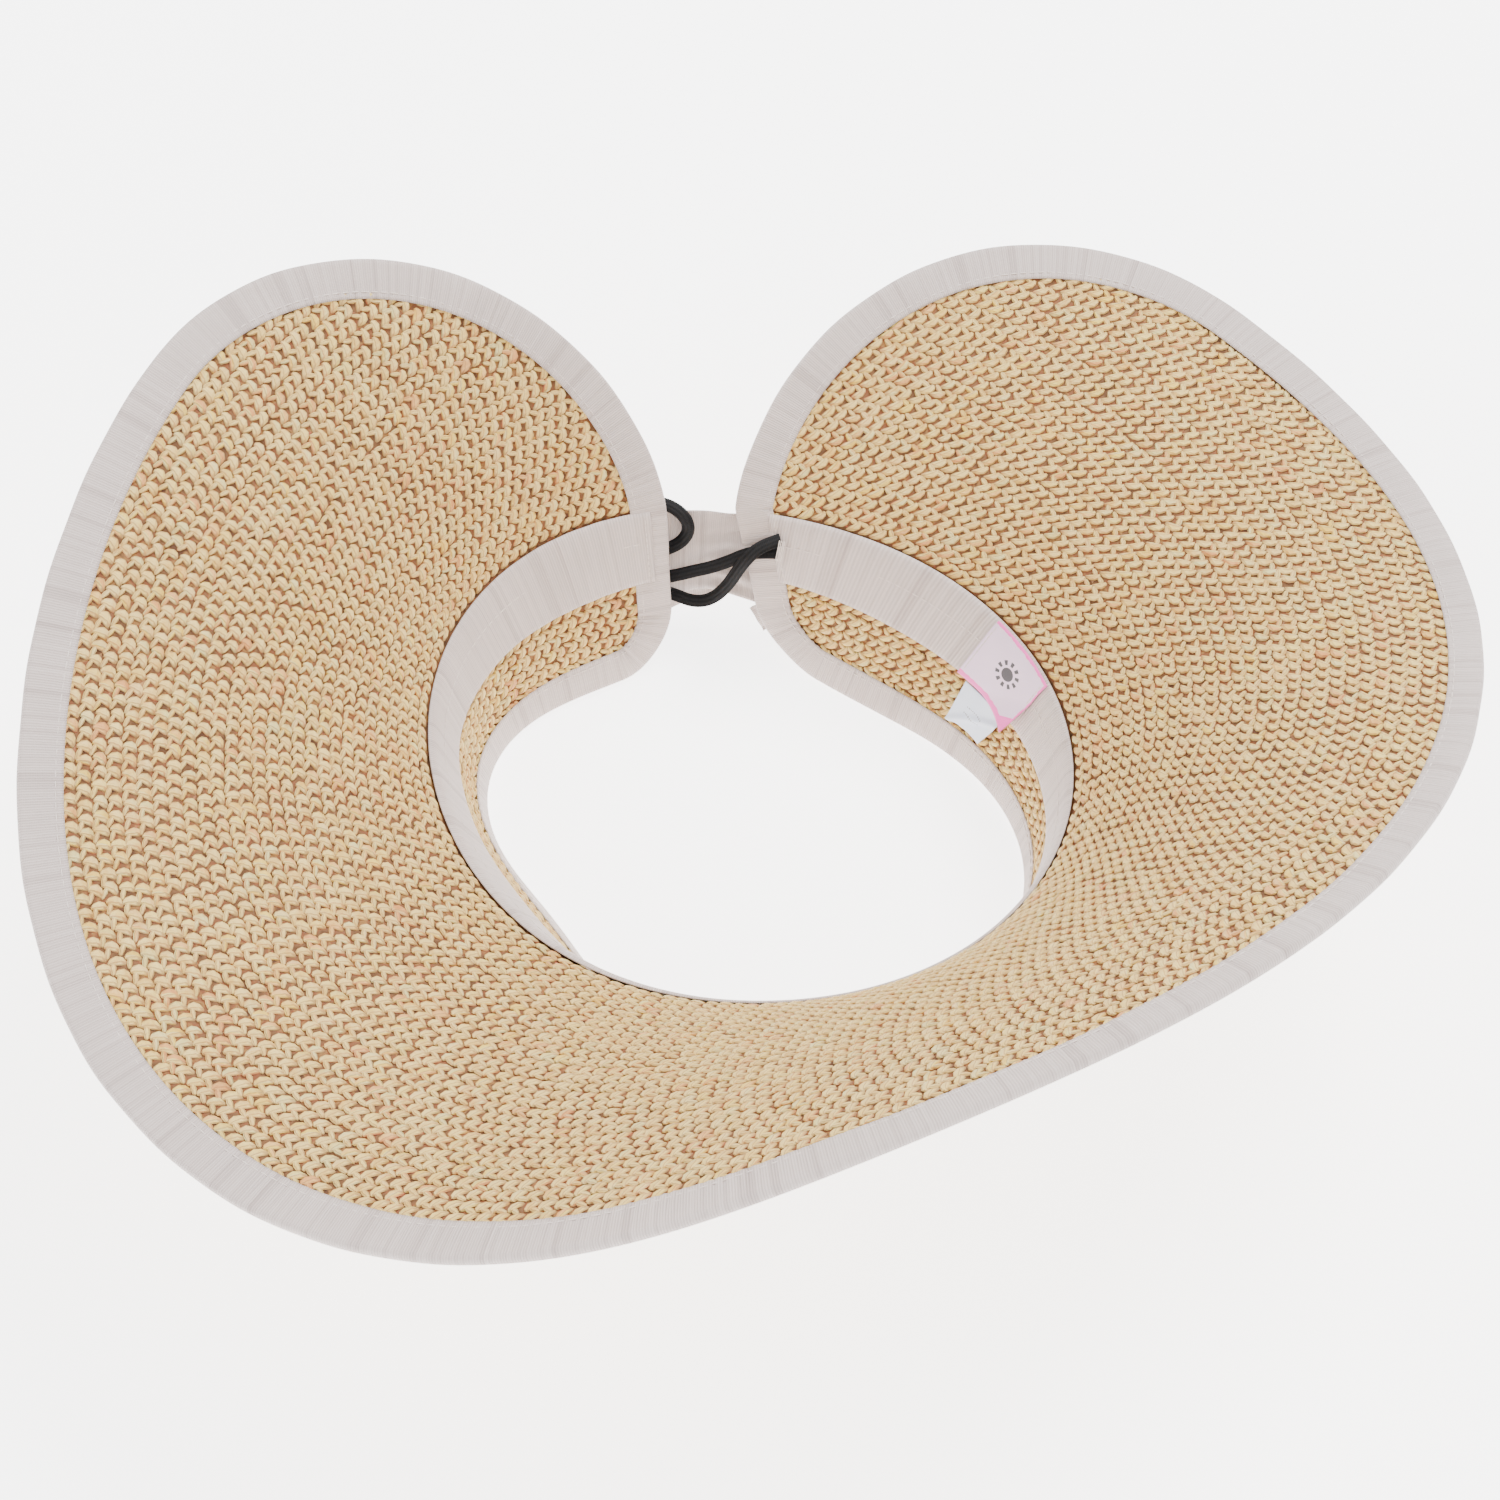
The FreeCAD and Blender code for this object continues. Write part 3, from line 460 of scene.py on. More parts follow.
split = ((yarn.mark("strand") + (mottle - 0.5) * 0.12) * (3.2 * math.pi)).sine()
body = yarn.mix((split < -0.72) * 0.6, body, browns)
# The base colour turns to the browns at each stitch's root: brown yarn there, plus painted shade in
# the valleys between stitches.
yarn.put("Base Color", yarn.mix(root + (mottle - 0.5) * root * 1.2, body, browns))
yarn.bump(fibres + split * 0.8, 0.5, 0.00025)

core = Paint("straw_core", Roughness=0.85)
core_place = core.room()
# The core's dark browns are partly the brown yarn between stitches and partly painted shade in the
# gaps between them.
core_brown_and_gap_shade = core.node("ShaderNodeValToRGB", {0: core.noise(core_place, 240.0, 2.0)}, ramp=[
    (0.34, linear(0.37, 0.24, 0.13)), (0.46, linear(0.47, 0.32, 0.19)),
    (0.54, linear(0.50, 0.29, 0.17)), (0.60, linear(0.59, 0.42, 0.22)),
    (0.68, linear(0.35, 0.22, 0.13))])
core.put("Base Color", core_brown_and_gap_shade)
core.bump(core.noise(core_place, 900.0), 0.6, 0.0004)


# The two cores overlap a little at the seam, so that no light shows between them.
SEAM_LAP = 0.3


def core_lay(level):
    """A core from raw edge to raw edge, where level(t) gives its height."""
    def lay(s, t):
        height = level(t)
        start, end = raw_edge("left", height), raw_edge("right", height)
        angle = start + (end - start) * s
        return straw(angle, height), np.stack([angle * 0.1, height / 1000], -1)
    return lay


def brim_level(t):
    return (BRIM + SEAM_LAP) * np.sin(t * np.pi / 2) ** 1.14 - SEAM_LAP


def crown_level(t):
    return -CROWN + (CROWN + SEAM_LAP) * (1 - np.cos(t * np.pi / 2))


outline_angles = np.concatenate([raw_edge("left", np.linspace(-CROWN, BRIM, 400)),
                                 raw_edge("right", np.linspace(-CROWN, BRIM, 400))])
outline_heights = np.tile(np.linspace(-CROWN, BRIM, 400), 2)


def span(height, inset_left=0.0, inset_right=0.0, count=300):
    """Angles at one height from one raw edge to the other, or from lines inside them."""
    return np.linspace(float(raw_edge("left", height, inset_left)),
                       float(raw_edge("right", height, inset_right)), count)


rim, foot = span(BRIM, count=900), span(-CROWN, count=600)
edge_cloud = np.concatenate([straw(outline_angles, outline_heights), straw(rim, BRIM + 0 * rim),
                             straw(foot, -CROWN + 0 * foot)])
edge_tree = kdtree.KDTree(len(edge_cloud))
for number, point in enumerate(edge_cloud):
    edge_tree.insert(point, number)
edge_tree.balance()


BOUND = 9.6


def snug(angle, height):
    """Share of its full width that the binding keeps: it is sewn narrower round the right front."""
    return 1 - 0.27 * np.exp(-((np.degrees(angle) - 64) / 52) ** 4) * (np.asarray(height) > 0)


def stitch_places(low, high):
    """Angle and height of every stitch between two heights, clear of the bound edge."""
    angles, heights = [], []
    count = int((high - low) / COURSE)
    for number in range(count + 1):
        level = low + number * COURSE
        fine = span(level, STITCH, STITCH, 1500)
        run = np.concatenate([[0], np.cumsum(np.linalg.norm(np.diff(
            straw(fine, level + 0 * fine), axis=0), axis=1))]) * 1000
        marks = np.arange((number * 0.36 % 1) * STITCH, run[-1], STITCH)
        angles.append(np.interp(marks, run, fine))
        heights.append(np.full(len(marks), level))
    angles, heights = np.concatenate(angles), np.concatenate(heights)
    clears = BOUND * snug(angles, heights) / 1000
    keep = [edge_tree.find(spot)[2] > room for spot, room in zip(straw(angles, heights), clears)]
    return angles[keep], heights[keep]


# A stitch's leg and strand: half length, half width and half depth, lean, and place in the stitch.
LEG, LEG_LEAN, LEG_PLACE = (2.75, 1.38, 0.80), math.radians(-47), (0.1, -0.35)
STRAND, STRAND_LEAN, STRAND_PLACE = (2.0, 0.92, 0.66), math.radians(26), (1.2, 1.62)
# How far up each leg and strand the root browning reaches. It is partly brown yarn and partly
# painted shade in the valleys.
LEG_ROOT_SHADE_REACH, STRAND_ROOT_SHADE_REACH = 0.42, 0.30
STITCH_OFFSET = 0.50


def leaned(x, y, lean, place):
    """A point of a stitch's part, turned by the part's lean and put in its place."""
    return (x * math.cos(lean) - y * math.sin(lean) + place[0],
            x * math.sin(lean) + y * math.cos(lean) + place[1])


def stitch_shape():
    """One stitch, seen from its own face: a plump leaning leg, and a thin strand over it."""
    mesh = bmesh.new()
    strands = []
    plump = bmesh.ops.create_uvsphere(mesh, u_segments=8, v_segments=5, radius=1)["verts"]
    for vertex in plump:
        x, y, z = vertex.co.z, vertex.co.x, vertex.co.y
        strands.append(y + 0.2 * x)
        swell = 1 - 0.22 * x
        x, y = LEG[0] * x, LEG[1] * y * swell
        vertex.co = (*leaned(x, y + 0.10 * x * x, LEG_LEAN, LEG_PLACE), LEG[2] * z - 0.10 * x)
    thin = bmesh.ops.create_uvsphere(mesh, u_segments=6, v_segments=4, radius=1)["verts"]
    for vertex in thin:
        x, y, z = vertex.co.z, vertex.co.x, vertex.co.y
        strands.append(0.6 * y)
        vertex.co = (*leaned(STRAND[0] * x, STRAND[1] * y, STRAND_LEAN, STRAND_PLACE),
                     STRAND[2] * z + 0.08)
    return mesh, len(plump), len(thin), strands


def knit(name, angles, heights, side):
    """Stitches over one face: side 1 is the face towards the head, -1 the outer one."""
    along, rise, normal = axes(angles, heights)
    count = len(angles)
    swing = np.radians(rng.normal(0, 6.0, count))[:, None]
    along, rise = (along * np.cos(swing) + rise * np.sin(swing),
                   rise * np.cos(swing) - along * np.sin(swing))
    mesh, plump, thin, strands = stitch_shape()
    sizes = np.stack([rng.normal(1, 0.07, count), rng.normal(1, 0.06, count),
                      rng.normal(1, 0.12, count)], -1) / 1000
    marks = {mark: np.concatenate([np.repeat(rng.random((count, 1)), plump, 1),
                                   np.repeat(rng.random((count, 1)), thin, 1)], 1)
             for mark in ("tint", "fleck")}
    tops = np.array([vertex.co.z for vertex in mesh.verts])
    reach = np.concatenate([np.full(plump, LEG_ROOT_SHADE_REACH), np.full(thin, STRAND_ROOT_SHADE_REACH)])
    marks["strand"] = np.tile(strands, (count, 1))
    # The root mark is highest where the stitch sinks towards the core: painted valley shade,
    # together with the brown yarn there.
    marks["root"] = np.tile(np.clip(1 - (tops - 0.02) / reach, 0, 1), (count, 1))
    if side < 0:
        along = -along
    places = straw(angles, heights, np.full(count, side * STITCH_OFFSET))
    places = (places + along * rng.normal(0, 0.00016, (count, 1))
              + rise * rng.normal(0, 0.00012, (count, 1)))
    piece = repeated(name, mesh, places, (along, rise, normal * side), sizes, marks, yarn)
    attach(piece, "root")


brim_core = grid_piece("brim_core", 200, 44, core_lay(brim_level), core, CORE_WALL)
belongs(brim_core, "brim_panel")
crown_core = grid_piece("crown_core", 160, 22, core_lay(crown_level), core, CORE_WALL)
belongs(crown_core, "crown_panel")

# The brim is knitted in three parts to a face. Stitches that the sweatband and the hatband hide
# are left out of the crown.
brim_angles, brim_heights = stitch_places(2.2, 119.0)
order = np.digitize(brim_angles, (-1.15, 1.0))
for side, face in ((1, "upper"), (-1, "under")):
    for number, part in enumerate(("left", "front", "right")):
        chosen = order == number
        knit(f"brim_knit_{face}_{part}", brim_angles[chosen], brim_heights[chosen], side)
crown_angles, crown_heights = stitch_places(-47.0, -1.5)
hidden = ((crown_heights > -22) & (crown_angles > raw_edge("left", crown_heights, 9))
          & (crown_angles < raw_edge("right", crown_heights, 14)))
knit("crown_knit_inner", crown_angles[~hidden], crown_heights[~hidden], 1)
hidden = (crown_heights > -38) & (crown_heights < -4.5)
knit("crown_knit_outer", crown_angles[~hidden], crown_heights[~hidden], -1)

# ---- Edge binding ------------------------------------------------------------------------
# One grosgrain ribbon folded over the whole raw edge of brim and crown, 11 mm to each side, and
# sewn through near its inner edges. It puckers between the stitches and gathers at the corners.
# FOLD_SHARE is the share of the ribbon's width that turns round the raw edge.
BINDING, BINDING_HALF, FOLD, FOLD_SHARE = 11.0, 1.37, 0.65, 0.16


def resampled(angles, heights, count):
    """The same line on the straw with its points an even distance apart."""
    spots = straw(angles, heights)
    run = np.concatenate([[0], np.cumsum(np.linalg.norm(np.diff(spots, axis=0), axis=1))]) * 1000
    marks = np.linspace(0, run[-1], count)
    return np.interp(marks, run, angles), np.interp(marks, run, heights), marks


def side_line(side):
    """The closure's raw edge from the crown's free edge up over the lobe to the rim."""
    turn = np.linspace(0, np.pi / 2, 60)
    levels = np.concatenate([-CROWN + CORNER * (1 - np.cos(turn)),
                             np.linspace(CORNER - CROWN, 0, 30)[1:],
                             BRIM * np.sin(turn[1:]) ** (2 / LOBES[side][1])])
    return raw_edge(side, levels), levels


left_angles, left_heights = side_line("left")
right_angles, right_heights = side_line("right")
start = (left_angles[0] + right_angles[0]) / 2
lead_in = np.linspace(start, left_angles[0], 200)[:-1]
lead_out = np.linspace(right_angles[0], start, 200)[1:]
across_rim = np.linspace(left_angles[-1], right_angles[-1], 400)[1:-1]
loop_angles = np.concatenate([lead_in, left_angles, across_rim, right_angles[::-1], lead_out])
loop_heights = np.concatenate([0 * lead_in - CROWN, left_heights, 0 * across_rim + BRIM,
                               right_heights[::-1], 0 * lead_out - CROWN])
EDGE_STEPS, INSIDE_STEPS = 1400, 4
edge_angles, edge_heights, edge_run = resampled(loop_angles, loop_heights, EDGE_STEPS)


def inside_line(distance):
    """The line on the straw at a distance inside the whole raw edge."""
    angle, height = edge_angles.copy(), edge_heights.copy()
    distance = distance * snug(angle, height)[:, None]
    spots = middle(angle, height)
    along = np.roll(spots, -1, 0) - np.roll(spots, 1, 0)
    along[0], along[-1] = spots[1] - spots[0], spots[-1] - spots[-2]
    for _ in range(INSIDE_STEPS):
        per_angle = (middle(angle + 2e-3, height) - middle(angle - 2e-3, height)) / 4e-3
        per_height = (middle(angle, height + 0.1) - middle(angle, height - 0.1)) / 0.2
        normal = unit(np.cross(per_height, per_angle))
        inward = unit(np.cross(normal, along)) * (distance / INSIDE_STEPS)
        aa, ah = (per_angle ** 2).sum(-1), (per_angle * per_height).sum(-1)
        hh = (per_height ** 2).sum(-1)
        da, dh = (inward * per_angle).sum(-1), (inward * per_height).sum(-1)
        under = aa * hh - ah * ah
        angle, height = angle + (da * hh - dh * ah) / under, height + (dh * aa - da * ah) / under
    return angle, height


DEPTHS = np.linspace(0, BINDING, 9)
inner_lines = [inside_line(depth) for depth in DEPTHS]
line_angles = np.array([line[0] for line in inner_lines])
line_heights = np.array([line[1] for line in inner_lines])
CORNER_HEIGHT = -50.0
corner_spots = [edge_run[int(np.argmin(abs(edge_angles - raw_edge(side, CORNER_HEIGHT))
                                       + abs(edge_heights - CORNER_HEIGHT) / 50))]
                for side in ("left", "right")]

grosgrain = Paint("grosgrain_ribbon", Roughness=0.68, Sheen_Weight=0.18, Sheen_Roughness=0.4)
ribbon_along, ribbon_across = grosgrain.uv()[1:]
rib = (ribbon_along * (2 * math.pi / 0.00072)).sine() * 0.5 + 0.5
crossing = (ribbon_across * (2 * math.pi / 0.0004)).sine() * 0.12
ribbon_room = grosgrain.room()
ribbon_tone = grosgrain.noise(ribbon_room, 55.0, 3.0)
ribbon_colour = grosgrain.mix(ribbon_tone, linear(0.785, 0.728, 0.705), linear(0.84, 0.782, 0.758))
slub = grosgrain.noise(ribbon_room, 160.0, 3.0)
uneven = grosgrain.node("ShaderNodeTexNoise", {"W": ribbon_along, "Scale": 700.0, "Detail": 3.0},
                        noise_dimensions="1D")
crease_shade_bands = grosgrain.node("ShaderNodeTexNoise", {"W": ribbon_along, "Scale": 170.0, "Detail": 2.0},
                         noise_dimensions="1D")
# Painted shade: the ribbon darkens in the grooves between its ribs and in bands at its creases.
# This is added to its own uneven tone along the weave.
tone_and_shade = (1 - rib) * 0.45 + (uneven - 0.5) * 0.9 + (crease_shade_bands > 0.63) * 0.30
grosgrain.put("Base Color", grosgrain.mix(tone_and_shade, ribbon_colour, linear(0.64, 0.575, 0.555)))
grosgrain.bump(rib + crossing + slub * 1.2, 0.55, 0.00028)


def binding_lay(s, t):
    """The binding from its edge on the outer face, round the fold, to its edge on the inner one.

    The puckers are waves along the edge, whose lengths are in millimetres.
    """
    column = np.rint(s * (EDGE_STEPS - 1)).astype(int)
    reach = abs(t - 0.5) * 2
    side = np.where(t >= 0.5, 1.0, -1.0)
    depth = np.clip((reach - FOLD_SHARE) / (1 - FOLD_SHARE), 0, 1) * BINDING
    row = depth / BINDING * (len(DEPTHS) - 1)
    low = np.minimum(row.astype(int), len(DEPTHS) - 2)
    rest = row - low
    angle = line_angles[low, column] * (1 - rest) + line_angles[low + 1, column] * rest
    height = line_heights[low, column] * (1 - rest) + line_heights[low + 1, column] * rest
    bend = np.clip(reach / FOLD_SHARE, 0, 1) * np.pi / 2
    run = edge_run[column]
    pucker = (0.22 + 0.12 * np.sin(run / 13.0) * np.sin(run / 41.0)) * np.sin(
        2 * np.pi * run / 3.0 + 0.9 * np.sin(run / 7.0)) * np.exp(-((depth - 7.0) / 4.5) ** 2)
    pucker += (0.22 * np.clip(np.sin(run / 5.3 + 2 * np.sin(run / 31.0)), 0.4, 1)
               * np.sin(np.pi * depth / BINDING))
    pucker += 0.16 * np.sin(run / 23.0 + 1.3 * side) * np.sin(run / 9.7) * (depth > 1)
    for corner in corner_spots:
        near = np.exp(-((run - corner) / 16.0) ** 2)
        pucker += 0.60 * near * np.sin(2 * np.pi * run / 3.7) * (depth / BINDING) ** 0.7
    offset = side * (BINDING_HALF * np.sin(bend) + np.maximum(pucker, -0.25))
    points = straw(angle, height, offset)
    tip = straw(edge_angles[column], edge_heights[column])
    inner = straw(line_angles[1, column], line_heights[1, column])
    wave = 1 + 0.25 * np.sin(run / 6.1) * np.sin(run / 17.0)
    points = points + unit(tip - inner) * (FOLD * np.cos(bend) * wave / 1000)[:, None]
    return points, np.stack([run / 1000, (t - 0.5) * 0.024], -1)


binding = grid_piece("edge_binding_ribbon", EDGE_STEPS - 1, 26, binding_lay, grosgrain,
                     BINDING_WALL)
belongs(binding, "edge_binding")

# Sewing thread: short stitches of cream polyester, each a little sunk at both ends.
thread_paint = Paint("sewing_thread", Roughness=0.55, Sheen_Weight=0.2)
ply = thread_paint.room()
thread_paint.put("Base Color", thread_paint.mix(
    thread_paint.noise(ply, 700.0), linear(0.80, 0.74, 0.71), linear(0.90, 0.86, 0.83)))
thread_paint.bump(thread_paint.noise(ply, 2600.0), 0.5, 0.0001)


THREAD, SINK = 0.42, 0.175


def sewn(name, lines, pitch, length, node, width=THREAD):
    """Rows of stitches: lines are (angles, heights, offset) on the straw."""
    places, ways, normals = [], [], []
    for angles, heights, offset in lines:
        whole = np.linalg.norm(np.diff(straw(angles, heights), axis=0), axis=1).sum() * 1000
        run_angles, run_heights, marks = resampled(angles, heights, 3 + int(whole / pitch))
        spots = straw(run_angles, run_heights, np.full(len(marks), float(offset)))
        normal = axes(run_angles, run_heights)[2] * math.copysign(1, offset)
        places.append((spots[1:] + spots[:-1]) / 2)
        ways.append(unit(spots[1:] - spots[:-1]))
        normals.append((normal[1:] + normal[:-1]) / 2)
    places, ways, normals = np.concatenate(places), np.concatenate(ways), np.concatenate(normals)
    across = unit(np.cross(normals, ways))
    count = len(places)
    mesh = bmesh.new()
    made = bmesh.ops.create_uvsphere(mesh, u_segments=6, v_segments=6, radius=0.5)["verts"]
    for vertex in made:
        x, y, z = vertex.co.z, vertex.co.x, vertex.co.y
        vertex.co = (x * length, y * width, z * width - SINK * (2 * x) ** 2 * width)
    sizes = np.stack([rng.normal(1, 0.05, count), np.ones(count), np.ones(count)], -1) / 1000
    piece = repeated(name, mesh, places, (ways, across, normals), sizes, {}, thread_paint)
    belongs(piece, node)


# Rows of thread lie at these offsets: on the binding, the sweatband, the bridge, the label, and
# the elastic under the sweatband's end.
ON_BINDING, ON_BAND, ON_BRIDGE, ON_LABEL, ON_ELASTIC = 1.66, 2.32, -2.98, 3.42, 5.9
row_angles, row_heights = inside_line(9.0)
on_brim = row_heights > 2
crown_right = (row_heights < -27) & (np.arange(EDGE_STEPS) > EDGE_STEPS / 2)
crown_left = (row_heights < -27) & (np.arange(EDGE_STEPS) < EDGE_STEPS / 2)
sewn("brim_binding_stitches", [(row_angles[on_brim], row_heights[on_brim], offset)
                               for offset in (ON_BINDING, -ON_BINDING)], 3.0, 2.5,
     "brim_binding_thread")
sewn("crown_binding_stitches", [(row_angles[part], row_heights[part], ON_BINDING)
                                for part in (crown_left, crown_right)], 3.0, 2.5,
     "crown_binding_thread")

# ---- Sweatband ---------------------------------------------------------------------------
# A 25 mm grosgrain ribbon inside the crown, its edge on the seam, over the binding at the back.
# It is sewn once along its length and across both ends, and ripples a little between.
SWEAT, BAND_MIDDLE, BAND_ROW = 25.0, 1.99, -10.5


def band_lay(low, high, inset_left, inset_right, side, ripple):
    """A ribbon on one face of the crown between two heights, drawn in where it meets the seam."""
    def lay(s, t):
        height = low + (high - low) * t
        start, end = raw_edge("left", height, inset_left), raw_edge("right", height, inset_right)
        angle = start + (end - start) * s
        run = angle * waves("ring", angle)
        edge = np.clip((height + 2.0) / 2.0, 0, 1) * 0.6 if high == 0 else 0
        offset = side * (BAND_MIDDLE - edge + ripple(run, t, angle))
        return straw(angle, height, offset), np.stack([run / 1000, t * (high - low) / 1000], -1)
    return lay


def sweat_ripple(run, t, angle):
    """How far the sweatband stands off: slack between stitches, and folds at the left end."""
    loose = (1 - t) ** 1.5
    wave = 0.30 * loose * (0.6 + np.sin(run / 11.0) * np.sin(run / 27.0 + 1))
    label = np.exp(-((np.degrees(angle) - 105) / 12) ** 2)
    folds = 0
    for degree, width, lift in ((-152, 2.2, 0.9), (-158, 1.8, 0.5), (-146, 2.6, 0.6),
                                (-138, 3, 0.4), (150, 2.4, 0.5), (143, 3.0, 0.35)):
        folds = folds + lift * np.exp(-((np.degrees(angle) - degree + 3 * t) / width) ** 2)
    return wave * (1 - label) + folds * (0.35 + 0.65 * np.sin(np.pi * t))


sweatband = grid_piece("sweatband_ribbon", 420, 16,
                       band_lay(-SWEAT, 0, 4.5, 9.5, 1, sweat_ripple), grosgrain, RIBBON_WALL)
belongs(sweatband, "sweatband")
band_span = span(BAND_ROW, 8.5, 13.5)
band_row = np.full(len(band_span), BAND_ROW)
0.008 + resampled(band_span, band_row, 9)[2][-1] / 1000
sewn("sweatband_stitches", [(band_span, band_row, ON_BAND)], 3.2, 2.6, "sweatband_thread")
end_levels = np.linspace(-23, -2, 40)
sewn("sweatband_end_stitches", [(raw_edge("left", end_levels, 6.5), end_levels, ON_BAND),
                                (raw_edge("right", end_levels, 11.5), end_levels, ON_BAND)],
     2.6, 2.1, "sweatband_end_threads")

# ---- Hatband -----------------------------------------------------------------------------
# A 38 mm grosgrain ribbon round the outside of the crown, just under the brim.
HATBAND, HAT_MIDDLE, HAT_INSET = 38.0, -21.5, 3.0


def hat_ripple(run, t, angle):
    """How far the hatband stands off, all round alike."""
    return 0.16 * (1 + np.sin(run / 19.0) * np.sin(run / 8.0 + 4 * t)) * np.sin(np.pi * t)


hatband = grid_piece("hatband_ribbon", 420, 12,
                     band_lay(HAT_MIDDLE - HATBAND / 2, HAT_MIDDLE + HATBAND / 2, HAT_INSET,
                              HAT_INSET, -1, hat_ripple), grosgrain, RIBBON_WALL)
belongs(hatband, "hatband")
hat_span = span(HAT_MIDDLE, HAT_INSET, HAT_INSET)
hat_row = np.full(len(hat_span), HAT_MIDDLE)
resampled(hat_span, hat_row, 9)[2][-1] / 1000

# The same ribbon crosses the gap at the back as a loose bridge, drawn in to a waist and
# gathered into folds at its right end, where the bow is sewn on.
BRIDGE_LONG, BRIDGE_TUCK, BRIDGE_DRAW, BRIDGE_SEAT = 70.0, 14.0, 3.5, -2.61
tuck = float(turn_of(BRIDGE_TUCK, HAT_MIDDLE))
bridge_start = float(raw_edge("right", HAT_MIDDLE)) - tuck
bridge_end = float(raw_edge("left", HAT_MIDDLE)) + tuck + 2 * math.pi


def bridge_lay(s, t):
    """From the right tuck to the left one: a waist, folds fanned from it, and a belly outward."""
    swell = np.sin(np.pi * s) ** 2
    height = HAT_MIDDLE + (t - 0.5) * HATBAND * (1 - BRIDGE_DRAW / HATBAND * 2 * swell)
    gather = np.exp(-((s - 0.28) / 0.17) ** 2)
    fan = t + 0.9 * (t - 0.45) * (s - 0.28)
    folds = (gather * (1 + np.sin(2 * np.pi * (fan * 4.6 + s * 0.9)))
             - 0.2 * (1 + np.sin(2 * np.pi * (t * 2.1 - s * 0.7))) * np.sin(np.pi * s))
    belly = np.sin(np.pi * np.clip(s, 0, 1)) ** np.where(s > 0.5, 0.7, 2.0)
    offset = BRIDGE_SEAT - 4.5 * belly + 1.25 * folds * swell
    angle = bridge_start + (bridge_end - bridge_start) * s
    run = (s - 0.5) * BRIDGE_LONG
    return straw(angle, height, offset), np.stack([run, t * HATBAND], -1) / 1000


bridge = grid_piece("bow_bridge_ribbon", 90, 40, bridge_lay, grosgrain, RIBBON_WALL)
belongs(bridge, "bow_bridge")
bridge_levels = np.linspace(-38, -5, 30)
sewn("bridge_stitches", [(bridge_start + (bridge_end - bridge_start) * share + 0 * bridge_levels,
                          bridge_levels, ON_BRIDGE) for share in (0.04, 0.96)],
     3.0, 2.4, "bridge_threads")

# ---- Bow ---------------------------------------------------------------------------------
# The same ribbon makes a flat bow on the bridge, outside the right end: a knot of ribbon drawn
# tight round the middle, two hollow loops gathered into it, and two tails cut to a notch.
# BOW_BASE, FLAP and LOOP are how far the knot, the tails and the loops lie from the straw.
BOW_ANGLE, BOW_HEIGHT = math.radians(165.0), -28.0
BOW_BASE, FLAP, LOOP = 7.36, 7.96, 9.76
KNOT, KNOT_POWER = (13.0, 20.0, 8.0), 5
LOOP_FOOT, LOOP_REACH = 7.2, 43.4
TAIL_FOOT, TAIL_SEAT = 11, 0.6
bow_up, bow_normal = axes(BOW_ANGLE, BOW_HEIGHT)[1:]
bow_out = -bow_normal
bow_side = np.cross(bow_up, bow_out)

mesh = bmesh.new()
bmesh.ops.create_cube(mesh, size=1.0, calc_uvs=True)
bmesh.ops.subdivide_edges(mesh, edges=mesh.edges, cuts=15, use_grid_fill=True)
layer = mesh.loops.layers.uv.verify()
knot_base = straw(BOW_ANGLE, BOW_HEIGHT, -BOW_BASE)
for face in mesh.faces:
    for loop in face.loops:
        x, y, z = loop.vert.co
        loop[layer].uv = ((y * KNOT[1] + z * KNOT[2] * math.copysign(1, y)) / 1000,
                          x * KNOT[0] / 1000)
for vertex in mesh.verts:
    x, y, z = (2 * part for part in vertex.co)
    spread = sum(abs(part) ** KNOT_POWER for part in (x, y, z)) ** (1 / KNOT_POWER)
    reach = max(abs(x), abs(y), abs(z))
    x, y, z = (part * reach / spread for part in (x, y, z))
    waist = 1 - 0.16 * math.cos(math.pi * y / 2) * (0.5 + 0.5 * z)
    groove = (0.055 * math.sin(9.0 * x + 1.4 * y) * (1 - 0.5 * abs(x))
              + 0.03 * math.sin(17 * x - 2 * y))
    x, z = x * waist * 0.99, z * (0.93 + groove)
    vertex.co = knot_base + (bow_side * x * KNOT[0] + bow_up * y * (0.97 + groove) * KNOT[1]
                             + bow_out * (z + 0.94) * KNOT[2]) / 2000
knot = new_piece("bow_knot_ribbon", mesh, grosgrain)
finer = knot.modifiers.new("finer", "SUBSURF")
finer.levels = finer.render_levels = 1
belongs(knot, "bow_knot")


def loop_lay(direction):
    """A hollow loop of ribbon: out from the knot on the far side, round its end and back."""
    def lay(s, t):
        turn = 2 * np.pi * s
        out = (1 - np.cos(turn)) / 2
        spread = 15 + 12.6 * np.sin(np.minimum(1, 1.35 * out) * np.pi / 2)
        rounded = np.sqrt(1 - np.maximum(0, out - 0.75) ** 2 / 0.25 ** 2 * 0.40)
        height = BOW_HEIGHT + (t - 0.5) * spread * rounded
        full = np.abs(np.sin(turn)) ** 0.75
        gather = np.sin(2 * np.pi * (t * 3.5 + 0.1 * direction)) * (1 - out) ** 1.6
        top = 6.0 * (0.62 + 0.38 * np.sin(np.pi * t)) * full + 0.7 * gather * full + 0.9
        bottom = 0.55 + 0.35 * gather * full + 0.6 * (1 - full)
        swell = 0.35 * np.sin(2 * np.pi * t * 1.6 + 3 * out) * full * out
        offset = -(LOOP + np.where(s <= 0.5, top + swell, bottom))
        angle = BOW_ANGLE + direction * turn_of(LOOP_FOOT + LOOP_REACH * out, BOW_HEIGHT)
        return straw(angle, height, offset), np.stack([s * 0.105, t * 0.038], -1)
    return lay


for name, direction in (("bow_loop_left", 1), ("bow_loop_right", -1)):
    loop = grid_piece(name + "_ribbon", 84, 28, loop_lay(direction), grosgrain, RIBBON_WALL)
    belongs(loop, name, name)


